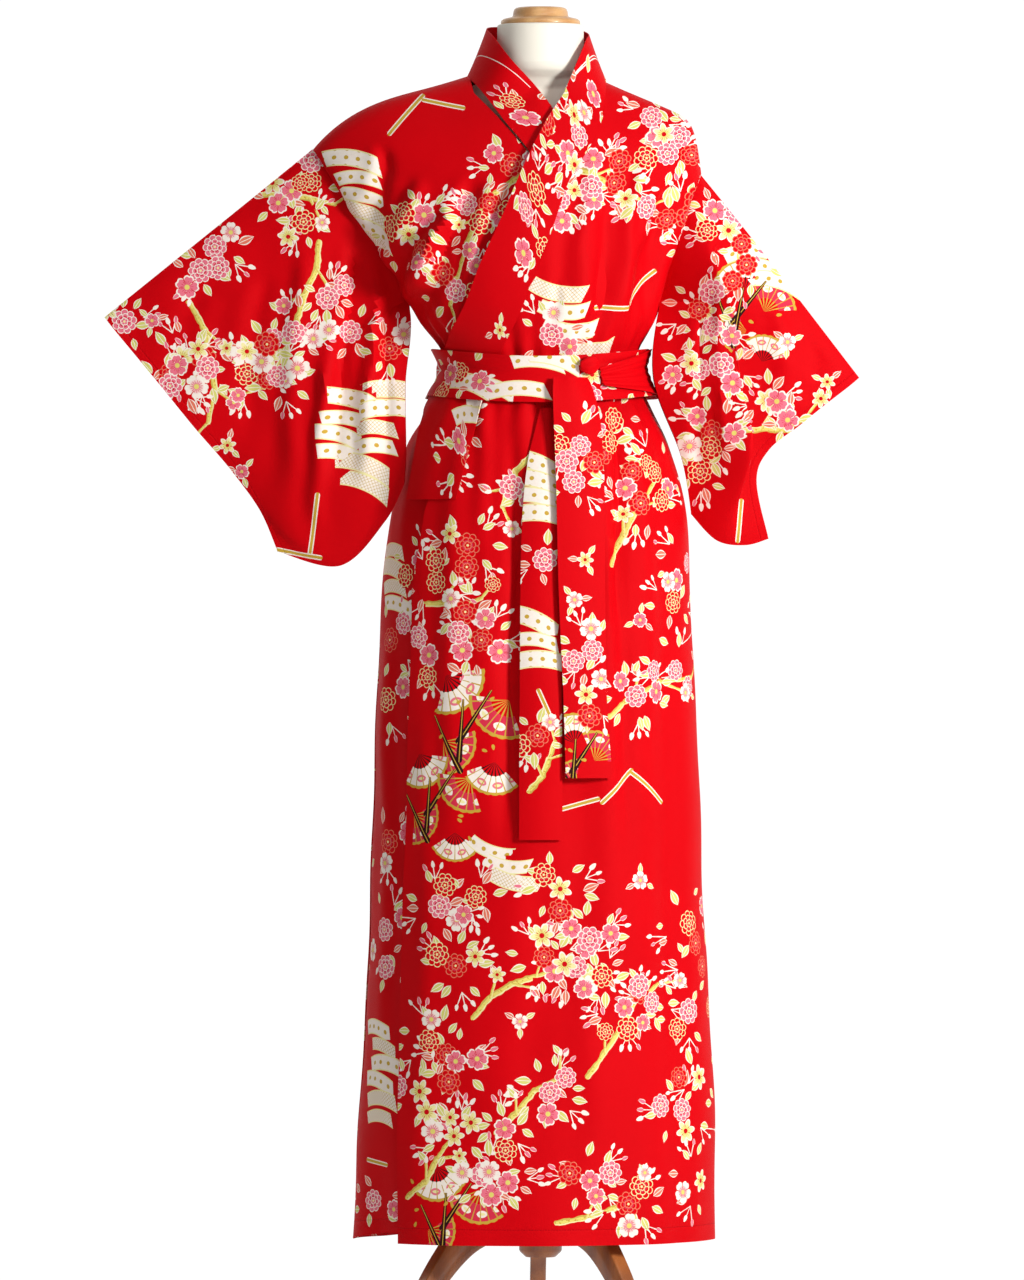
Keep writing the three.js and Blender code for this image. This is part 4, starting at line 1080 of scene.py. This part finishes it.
collar = {"lift": 3.9, "endLift": 1.9, "wall": 1.3, "across": 9, "steps": 9}
collarRows = [  # layer, seam x z, edge x z, then y of each where the band stands off the body
    ("under", 44, 1300, 98, 1296), ("under", 38, 1350, 95, 1356), ("under", 30, 1420, 87, 1432),
    ("under", 18, 1490, 73, 1512), ("under", 2, 1548, 52, 1582), ("under", -14, 1594, 30, 1628),
    ("under", -46, 1636, -4, 1676), ("under", -74, 1674, -38, 1714, None, -54),
    ("under", -91, 1692, -60, 1744, -6, -20), ("under", -88, 1690, -67, 1756, 39, 24),
    ("under", -54, 1683, -46, 1760, 75, 64), ("under", 0, 1691, 0, 1761, 83, 80),
    ("over", 50, 1680, 43, 1757, 75, 64), ("over", 79, 1684, 60, 1749, 39, 26),
    ("over", 82, 1689, 57, 1738, -6, -24), ("over", 79, 1670, 45, 1708, None, -54),
    ("over", 74, 1640, 28, 1672), ("over", 58, 1602, 6, 1634), ("over", 32, 1556, -20, 1576),
    ("over", 12, 1494, -44, 1512), ("over", -8, 1440, -67, 1452), ("over", -22, 1394, -82, 1402),
    ("over", -40, 1347, -98, 1352), ("over", -56, 1294, -114, 1300), ("over", -76, 1232, -134, 1238),
    ("over", -94, 1160, -151, 1160),
]


def collarPoint(x, z, layer):
    lift = np.interp(z, (1165, 1280), (collar["endLift"], collar["lift"]))
    return frontPoint(levelAt(x, z, layer), x, layer, lift)


def collarGrid():
    corners = []
    for layer, sx, sz, ex, ez, *off in collarRows:
        ys = list(off) + [None] * (2 - len(off))
        pair = []
        for x, z, y in ((sx, sz, ys[0]), (ex, ez, ys[1])):
            pair.append(collarPoint(x, z, layer) if y is None else np.array([x, y, z], float))
        corners.append(pair)
    corners = np.array(corners)
    share = np.linspace(0, 1, collar["across"])
    grid = []
    for place in np.arange(0, len(collarRows) - 1 + 1e-6, 1 / collar["steps"]):
        before = collarRows[int(place + 1e-9)]
        after = collarRows[min(int(math.ceil(place - 1e-9)), len(collarRows) - 1)]
        ends = np.array([[smoothColumn(corners[:, k, axis], place) for axis in range(3)] for k in range(2)])
        if len(before) > 5 or len(after) > 5:
            grid.append(ends[0] + (ends[1] - ends[0]) * share[:, None])
            continue
        x = ends[0, 0] + (ends[1, 0] - ends[0, 0]) * share
        z = ends[0, 2] + (ends[1, 2] - ends[0, 2]) * share
        grid.append(collarPoint(x, z, before[0]))
    return np.array(grid)


grid = collarGrid()
outward = grid * [1, 1, 0]
soft = ripple(grid, 3, 1.6, 130) + 0.5 * np.sin(np.linspace(0, math.pi, collar["across"]))[None, :]
soft = soft * np.clip((1650 - grid[..., 2]) / 80, 0.15, 1)
below = creaseLift(grid, bodyCreases["bodyLeft"], "front") + gatherLift(grid)
below *= smoothStep((1335 - grid[..., 2]) / 30)
below[: len(grid) // 2] = 0  # the under front's half of the band lies still
grid = addLift(grid, soft + below, outward)
flats = flatGrid(grid)
collarBand, faces = wallMesh("collarBand", grid, flats, wall=collar["wall"])
count = dress("collarBand", collarBand, faces, grid, flats, slice(0, None), 31)
finishCloth(collarBand, grid, grid * [1, 1, 0], False)
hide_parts("collar_band")
print("collar", count, "motifs")


# Rows of a sleeve: how far down, x and z of its seam, fold, mid and cuff lines, then the y of these
# lines in front and behind.
sleeveRows = {
    "left": [
        (0, -287, 1602, -374, 1531, -461, 1461, -549, 1390, 0, 0, 0, 0, 0, 0, 0, 0),
        (0.07, -270, 1575, -356, 1506, -444, 1437, -533, 1370, -14, -10, -7, -6, 14, 10, 7, 6),
        (0.24, -230, 1511, -309, 1446, -402, 1378, -489, 1317, -24, -24, -14, -12, 24, 18, 14, 12),
        (0.48, -167, 1412, -262, 1360, -352, 1293, -436, 1252, -14, -32, -20, -11, 14, 16, 12, 7),
        (0.72, -170, 1305, -250, 1262, -318, 1211, -389, 1197, -34, -40, -26, -8, -6, 8, 8, 0),
        (0.9, -169, 1222, -234, 1164, -300, 1116, -352, 1145, -52, -40, -26, -10, -38, -10, -2, -2),
        (1, -171, 1181, -196, 1133, -252, 1078, -331, 1096, -60, -44, -22, -12, -54, -36, -14, -6),
    ],
    "right": [
        (0, 202, 1571, 236, 1527, 282, 1469, 401, 1314, 0, 0, 0, 0, 0, 0, 0, 0),
        (0.07, 196, 1555, 226, 1508, 268, 1452, 388, 1303, -14, -22, -12, -6, 14, 13, 10, 6),
        (0.24, 177, 1508, 214, 1474, 228, 1440, 357, 1279, -24, -46, -26, -12, 24, 22, 16, 10),
        (0.48, 151, 1412, 238, 1400, 196, 1385, 326, 1254, -22, -66, -26, -12, 16, 22, 18, 9),
        (0.72, 142, 1314, 250, 1306, 196, 1290, 288, 1224, -44, -66, -22, -5, 16, 22, 16, 5),
        (0.9, 177, 1216, 262, 1214, 232, 1204, 272, 1186, -18, -48, -20, -5, 12, 14, 12, 5),
        (1, 190, 1143, 222, 1110, 258, 1104, 287, 1112, -4, -5, -5, -4, 4, 5, 5, 4),
    ],
}
sleeveCreases = {
    "left": [
        ("front", -232, 1480, -262, 1180, -10.4, 13), ("front", -206, 1440, -224, 1170, 9.6, 12),
        ("front", -300, 1470, -318, 1160, 5.8, 16), ("front", -350, 1440, -372, 1220, -4.2, 18),
        ("front", -192, 1400, -196, 1200, -5.6, 9), ("front", -270, 1330, -282, 1110, 5.1, 12),
        ("front", -420, 1420, -430, 1290, 2.9, 20), ("back", -240, 1470, -262, 1190, 7.2, 14),
        ("back", -300, 1460, -330, 1180, -6.4, 16), ("back", -390, 1420, -410, 1240, 4.8, 18),
    ],
    "right": [
        ("front", 222, 1420, 232, 1200, 4.2, 8), ("front", 200, 1400, 196, 1180, -3.8, 8),
        ("front", 300, 1400, 306, 1260, 4.2, 14), ("front", 350, 1350, 340, 1270, -3.2, 14),
        ("back", 230, 1440, 240, 1180, 6.4, 13), ("back", 290, 1400, 296, 1190, -5.8, 14),
    ],
}
seamTuck = {"under": 2.4, "in": 1.7}  # mm the sleeve goes in below the edge of the armhole


def armholeEdge(side, facing, share):  # where the sleeve meets the body
    sign = -1 if side == "left" else 1
    angle = sign * (89.9 if facing == "front" else 90.1)
    point = bodyPoint(topLevel + (armpitLevel - topLevel) * share, angle)
    along = bodyPoint(topLevel, angle) - bodyPoint(armpitLevel, angle)
    along[1] = 0
    along /= np.linalg.norm(along)
    point[1] -= np.clip(point[1], -seamTuck["in"], seamTuck["in"])
    return point - np.array([sign * along[2], 0, -sign * along[0]]) * seamTuck["under"]


def sleeveGrid(side, columns=54, steps=11):
    table = np.array(sleeveRows[side], float)
    spread = np.linspace(0, 3, columns)

    def layerRow(place, facing):
        firstY = 9 if facing == "front" else 13
        lines = [(1 + 2 * k, firstY + k, 2 + 2 * k) for k in range(4)]
        line = np.array([[smoothColumn(table[:, column], place) for column in xyz] for xyz in lines])
        if facing == "back":
            straight = np.clip(min(place, 6 - place), 0, 1)
            for k in (1, 2):
                level = line[0] + (line[3] - line[0]) * k / 3
                line[k, [0, 2]] += (level[[0, 2]] - line[k, [0, 2]]) * straight
        if place <= 3:
            line[0] = armholeEdge(side, facing, place / 3)
        return np.stack([smoothColumn(line[:, axis], spread) for axis in range(3)], -1)

    places = np.linspace(0, 6, 6 * steps + 1)
    front = [layerRow(place, "front") for place in places[::-1]]
    back = [layerRow(place, "back") for place in places[1:]]
    return np.array(front + back), len(places)


sleeves = {}
sleeveSides = (
    ("left", "sleeveRight", "sleeve_wearers_right"), ("right", "sleeveLeft", "sleeve_wearers_left"),
)
for side, name, node in sleeveSides:
    grid, frontCount = sleeveGrid(side)
    flats = grid[..., [0, 2]].copy()
    cuff = flatGrid(grid)[..., 0]
    front, rear = grid[:frontCount], grid[frontCount:]
    middle = (front[::-1] + np.concatenate([front[-1:], rear])) / 2
    middle = np.concatenate([middle[::-1], middle[1:]])
    outward = grid - middle
    outward[..., 1] += np.where(np.arange(len(grid)) < frontCount, -0.5, 0.5)[:, None]
    creases = sleeveCreases[side]
    lift = np.concatenate([creaseLift(front, creases, "front"), creaseLift(rear, creases, "back")])
    place = np.abs(np.arange(len(grid)) - (frontCount - 1)) / (frontCount - 1)
    fromFolds = smoothStep(np.minimum(place, 1 - place) / 0.09)[:, None]
    fromSeam = smoothStep(np.linspace(0, 1, grid.shape[1]) / 0.1)[None, :]
    lift = (lift + ripple(grid, 8, 1.8, 120)) * (fromFolds * fromSeam)
    grid = addLift(grid, lift, outward)
    made, faces = wallMesh(name, grid, flats, closedRows=True)
    backBox = ((-520, 1100), (-190, 1560)) if side == "left" else ((200, 1120), (390, 1540))
    frontRows, backRows = slice(0, frontCount), slice(frontCount - 1, None)
    count = dress(name, made, faces, grid, flats, frontRows, 51 + len(sleeves), backBox, backRows)
    finishCloth(made, grid, outward, True, 2 * (cuff.max(1, keepdims=True) - cuff))
    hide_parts(node)
    sleeves[name] = made
    print("sleeve", name, count, "motifs", len(faces), "faces")


belt = {"top": 1350, "width": 58, "wall": 1.7, "lift": 16.8, "fanLift": 20.9, "knotLift": 24.4}
upperTie = columnsOf("z x half lift", [
    (1312, 37, 21, 25), (1296, 40, 25, 26), (1258, 45, 29, 23), (1180, 49, 30, 18), (1050, 51, 29, 15),
    (912, 55, 27, 14), (812, 60, 29, 15),
])
lowerTie = columnsOf("z x half lift", [
    (1274, 8, 8, 4), (1250, 6, 12, 4.4), (1200, 3, 20, 5.6), (1110, 1, 25, 6.4), (920, 0, 26, 6.4),
    (735, 0, 27, 6.6),
])


def beltPoint(angle, share, lift):
    angle, share, lift = together(angle, share, lift)
    facing = np.cos(np.radians(angle))
    z = belt["top"] - np.where(facing > 0, 11 * facing ** 2, 4) - share * belt["width"]
    waist = bodyPoint(levelAt(np.zeros(z.shape), z, "over"), angle, lift)
    waist[..., 2] = z
    return waist


def beltPiece(name, node, grid, flats, closedRows, seed):
    made, faces = wallMesh(name, grid, flats, closedRows, belt["wall"])
    count = dress(name, made, faces, grid, flats, slice(0, None), seed)
    finishCloth(made, grid, grid * [1, 1, 0], closedRows)
    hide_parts(node)
    return made


angle = np.linspace(-180, 180, 264, endpoint=False)[:, None]
share = np.linspace(0, 1, 17)[None, :]
turn = np.radians(angle)
crumple = np.sin(share * 15 + 1.4 * np.sin(turn * 3)) * 0.9 + np.sin(share * 27 - turn * 2) * 0.4
grid = beltPoint(angle, share, belt["lift"] + crumple * np.sin(share * math.pi) ** 0.5)
flats = np.stack([turn * 118 + 0 * share, -share * belt["width"] + 0 * angle], -1)
beltWrap = beltPiece("beltWrap", "belt_wrap", grid, flats, True, 71)

share = np.linspace(0, 1, 56)[:, None]
down = np.linspace(0, 1, 46)[None, :]
tight = 0.36 + 0.64 * share ** 0.8
fold = 1.8 * (0.5 - 0.5 * np.cos(down * 5 * math.pi)) * (1 - 0.4 * share)
fold = fold + 0.5 * np.sin(down * 40 + share * 3)
grid = beltPoint(33 + 50 * share, 0.5 + (down - 0.5) * tight, belt["fanLift"] + fold)
flats = np.stack([share * 110 + 0 * down, -down * belt["width"] + 0 * share], -1)
beltFan = beltPiece("beltFan", "belt_fan", grid, flats, False, 73)


def tieGrid(rows, bend):
    steps = np.linspace(0, len(rows["z"]) - 1, 90)
    z, x, half, lift = (smoothColumn(rows[name], steps) for name in ("z", "x", "half", "lift"))
    level = levelAt(x, z, "over")
    side = np.linspace(-1, 1, 15)
    across = x[:, None] + side * half[:, None]
    crease = bend * np.sin(side * 3.3 + 0.9) * np.exp(-np.linspace(0, 3.2, len(z)))[:, None]
    crease = crease + 0.5 * np.sin(z / 46 + 1.2)[:, None] * side
    lifts = lift[:, None] + 1.5 * (1 - side * side) + crease
    point = frontPoint(level[:, None] + 0 * across, across, "over", lifts)
    return np.stack([across, point[..., 1], z[:, None] + 0 * across], -1)


ties = {}
hangingEnds = (
    ("endUpper", "belt_end_upper", upperTie, 2.2, 81), ("endLower", "belt_end_lower", lowerTie, 0.8, 83),
)
for name, node, rows, bend, seed in hangingEnds:
    grid = tieGrid(rows, bend)
    flats = np.stack([grid[..., 0], grid[..., 2]], -1)
    ties[name] = beltPiece(name, node, grid, flats, False, seed)


def knotRings():
    rings = []
    for share in np.linspace(0, 1, 30):
        swell = math.sin(math.pi * (0.14 + 0.72 * share))
        turn = np.linspace(0, 2 * math.pi, 40, endpoint=False)
        crease = 0.8 * np.sin(turn * 5 + share * 2) * swell
        lift = belt["knotLift"] + (5.5 * swell + crease) * np.cos(turn)
        rings.append(beltPoint(21 + 10.5 * share, 0.24 + 0.2 * swell * np.sin(turn), lift))
    return np.array(rings)


knot = loftMesh("beltKnot", knotRings(), 60)
knot.data.materials.append(cottonCloth)
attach(knot, "root")
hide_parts("belt_knot")
print("belt ready")


formRows = columnsOf("z wide deep fore", [
    (985, 160, 108, 0), (1000, 166, 112, 0), (1060, 168, 114, 0), (1150, 158, 112, 2), (1235, 128, 94, 2),
    (1300, 100, 78, 2), (1351, 100, 78, 4), (1412, 124, 90, 6), (1480, 134, 90, 6), (1540, 140, 78, 4),
    (1590, 152, 62, 2), (1625, 150, 46, 0), (1656, 136, 40, 0), (1678.4, 94, 32, 0), (1691, 66, 36, 0),
    (1701, 56, 50, 0), (1710, 54.5, 54.5, 0), (1757, 54.5, 54.5, 0), (1758.4, 53.6, 53.6, 0),
    (1759, 52, 52, 0),
])
cover = {
    "dark": linear(238, 230, 212), "light": linear(246, 241, 228),
    "roughness": 0.72, "sheen": 0.15, "shine": 0.3,
}
woods = {
    "capWood": {"light": linear(226, 180, 122), "dark": linear(190, 132, 76), "stretch": (1.0, 9.0, 9.0),
                "rings": 260, "roughness": 0.38, "coat": 0.3},
    "standWood": {"light": linear(186, 110, 52), "dark": linear(120, 58, 22), "stretch": (7.0, 7.0, 0.8),
                  "rings": 190, "roughness": 0.32, "coat": 0.6},
}


def formRings():
    turn = np.linspace(0, 2 * math.pi, 96, endpoint=False)
    z = formRows["z"]
    heights = np.unique(np.concatenate([np.linspace(z[0], z[-1], 130), z]))[:, None]
    wide, deep, fore = (np.interp(heights, z, formRows[name]) for name in ("wide", "deep", "fore"))
    return np.stack([wide * np.sin(turn), -deep * np.cos(turn) - fore, heights + 0 * turn], -1)


def coverMaterial():
    made, graph = startMaterial("formCover")
    where = graph.node("ShaderNodeNewGeometry")
    x, y, z = graph.split(where)
    knit = (z * 4200).maths("SINE") * ((x + y) * 3600).maths("SINE")
    uneven = graph.noise(where, 9.0, 3.0)
    closeMaterial(graph, {
        "Base Color": graph.mix(uneven, cover["dark"], cover["light"]),
        "Roughness": cover["roughness"] + uneven * 0.1,
        "Sheen Weight": cover["sheen"], "Specular IOR Level": cover["shine"],
    }, knit * 0.4 + uneven, 0.00008)
    return made


def woodMaterial(name):
    wood = woods[name]
    made, graph = startMaterial(name)
    place = graph.node("ShaderNodeTexCoord", None, None, "Object")
    warp = graph.vector("SCALE", graph.noise(place, 5.0, 2.0).of("Color"), 0.03)
    warped = graph.vector("ADD", place, warp)
    stretched = graph.vector("MULTIPLY", warped, wood["stretch"])
    grain = graph.noise(stretched, 60.0, 5.0, 0.62)
    x, y, z = graph.split(warped)
    year = ((x * x + y * y).maths("SQRT") * wood["rings"] + grain * 1.2).maths("SINE") * 0.5 + 0.5
    colour = graph.mix(year * 0.45 + grain * 0.55, wood["dark"], wood["light"])
    pores = graph.noise(graph.vector("MULTIPLY", stretched, (2.0, 2.0, 1.0)), 160.0, 2.0).under(0.36)
    colour = graph.mix(pores * 0.35, colour, tuple(c * 0.5 for c in wood["dark"]))
    closeMaterial(graph, {
        "Base Color": colour, "Roughness": wood["roughness"] + grain * 0.12,
        "Coat Weight": wood["coat"], "Coat Roughness": 0.12,
    }, grain - pores * 0.4, 0.0002)
    return made


formCover = coverMaterial()
capWood = woodMaterial("capWood")
standWood = woodMaterial("standWood")


def solidPiece(made, node, material):  # a piece of the form or the stand
    made.data.materials.append(material)
    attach(made, "root")
    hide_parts(node)
    return made


dressForm = solidPiece(loftMesh("dressForm", formRings(), 50), "dress_form", formCover)

cap = {"around": 72, "profile": [
    (30, 1759.3), (49, 1759.3), (50, 1760.2), (50, 1762.4), (49.4, 1764), (47, 1766), (41, 1767.4),
    (36.2, 1768.6), (35, 1770), (34.6, 1773), (34, 1776), (33, 1778.4), (31, 1780), (28, 1780.8),
    (20, 1781), (4, 1781),
]}
hub = {"around": 72, "profile": [
    (8, 207), (18.6, 207), (20, 208.2), (25.8, 213.6), (27, 216), (27, 299), (28.4, 301), (31, 304.6),
    (32, 307), (32, 316.5), (31.2, 319), (25.6, 328), (24, 329.6), (22, 330), (6, 330),
]}
pole = {"around": 48, "profile": [
    (6, 330.3), (14.4, 330.3), (15, 331), (15, 984), (14.4, 984.7), (6, 984.7),
]}


def turned(name, shape):  # a profile of radius and height, turned on the lathe
    turn = np.linspace(0, 2 * math.pi, shape["around"], endpoint=False)
    rings = [np.stack([r * np.cos(turn), r * np.sin(turn), z + 0 * turn], -1) for r, z in shape["profile"]]
    return loftMesh(name, np.array(rings), 35)


neckCap = solidPiece(turned("neckCap", cap), "neck_cap", capWood)
standHub = solidPiece(turned("standHub", hub), "stand_hub", standWood)
standPole = solidPiece(turned("standPole", pole), "stand_pole", standWood)

leg = {"thick": 20, "bevel": 3.2, "headings": {"left": 214, "right": 308, "back": 91}}
legRows = columnsOf("r top low", [
    (27.3, 296, 235), (60, 290, 232), (110, 268, 212), (165, 205, 156), (215, 122, 76), (250, 66, 18),
    (262, 54, 0), (285, 46, 0), (309, 22, 0),
])


def legRings(heading):
    steps = np.linspace(0, len(legRows["r"]) - 1, 60)
    r, top, low = (smoothColumn(legRows[name], steps) for name in ("r", "top", "low"))
    low = np.where(steps > 5.0, np.interp(steps, range(9), legRows["low"]), low)
    half, bevel = leg["thick"] / 2, leg["bevel"]
    way = math.radians(heading)
    rings = []
    for far, high, under in zip(r, top, np.maximum(low, 0)):
        section = []
        edges = ((1, high, 1, 0), (-1, high, 1, 90), (-1, under, -1, 180), (1, under, -1, 270))
        for sx, edge, sz, start in edges:
            for k in range(4):
                turn = math.radians(start + k * 30)
                across = sx * (half - bevel) + bevel * math.cos(turn)
                section.append((across, edge - sz * bevel + bevel * math.sin(turn)))
        across, height = np.array(section).T
        x = far * math.cos(way) - across * math.sin(way)
        y = far * math.sin(way) + across * math.cos(way)
        rings.append(np.stack([x, y, height], -1))
    return np.array(rings)


for name, heading in leg["headings"].items():
    made = loftMesh(f"leg{name.capitalize()}", legRings(heading), 40)
    solidPiece(made, f"stand_leg_{name}", standWood)
print("form and stand ready")

floorMesh = bpy.data.meshes.new("floor")
half = studio["floorSize"] / 2
corners = [(-half, -half, 0), (half, -half, 0), (half, half, 0), (-half, half, 0)]
floorMesh.from_pydata(corners, [], [(0, 1, 2, 3)])
floor = bpy.data.objects.new("floor", floorMesh)
scene.collection.objects.link(floor)
floorPaint, graph = startMaterial("floorPaint")
closeMaterial(graph, {"Base Color": (*studio["floor"], 1.0), "Roughness": 0.85, "Specular IOR Level": 0.1})
floor.data.materials.append(floorPaint)

# How each sheet was cut, width and length in metres, and how it is held.
area = lambda made: sum(p.area for p in made.data.polygons) / 2
for made, width, length, held in (
    (bodies["bodyLeft"], 0.40, 3.02, "hung"), (bodies["bodyRight"], 0.40, 3.02, "hung"),
    (sleeves["sleeveRight"], 0.34, 0.98, "hung"), (sleeves["sleeveLeft"], 0.34, 0.62, "hung"),
    (collarBand, 0.06, 1.3, "folded"), (beltWrap, 0.058, 0.82, "stretched"),
    (beltFan, 0.058, 0.1, "gathered"),
    (ties["endUpper"], 0.058, 0.5, "hung"), (ties["endLower"], 0.054, 0.54, "hung"),
):
    print(made.name, "area", round(area(made), 4), "flat", round(width * length, 4))
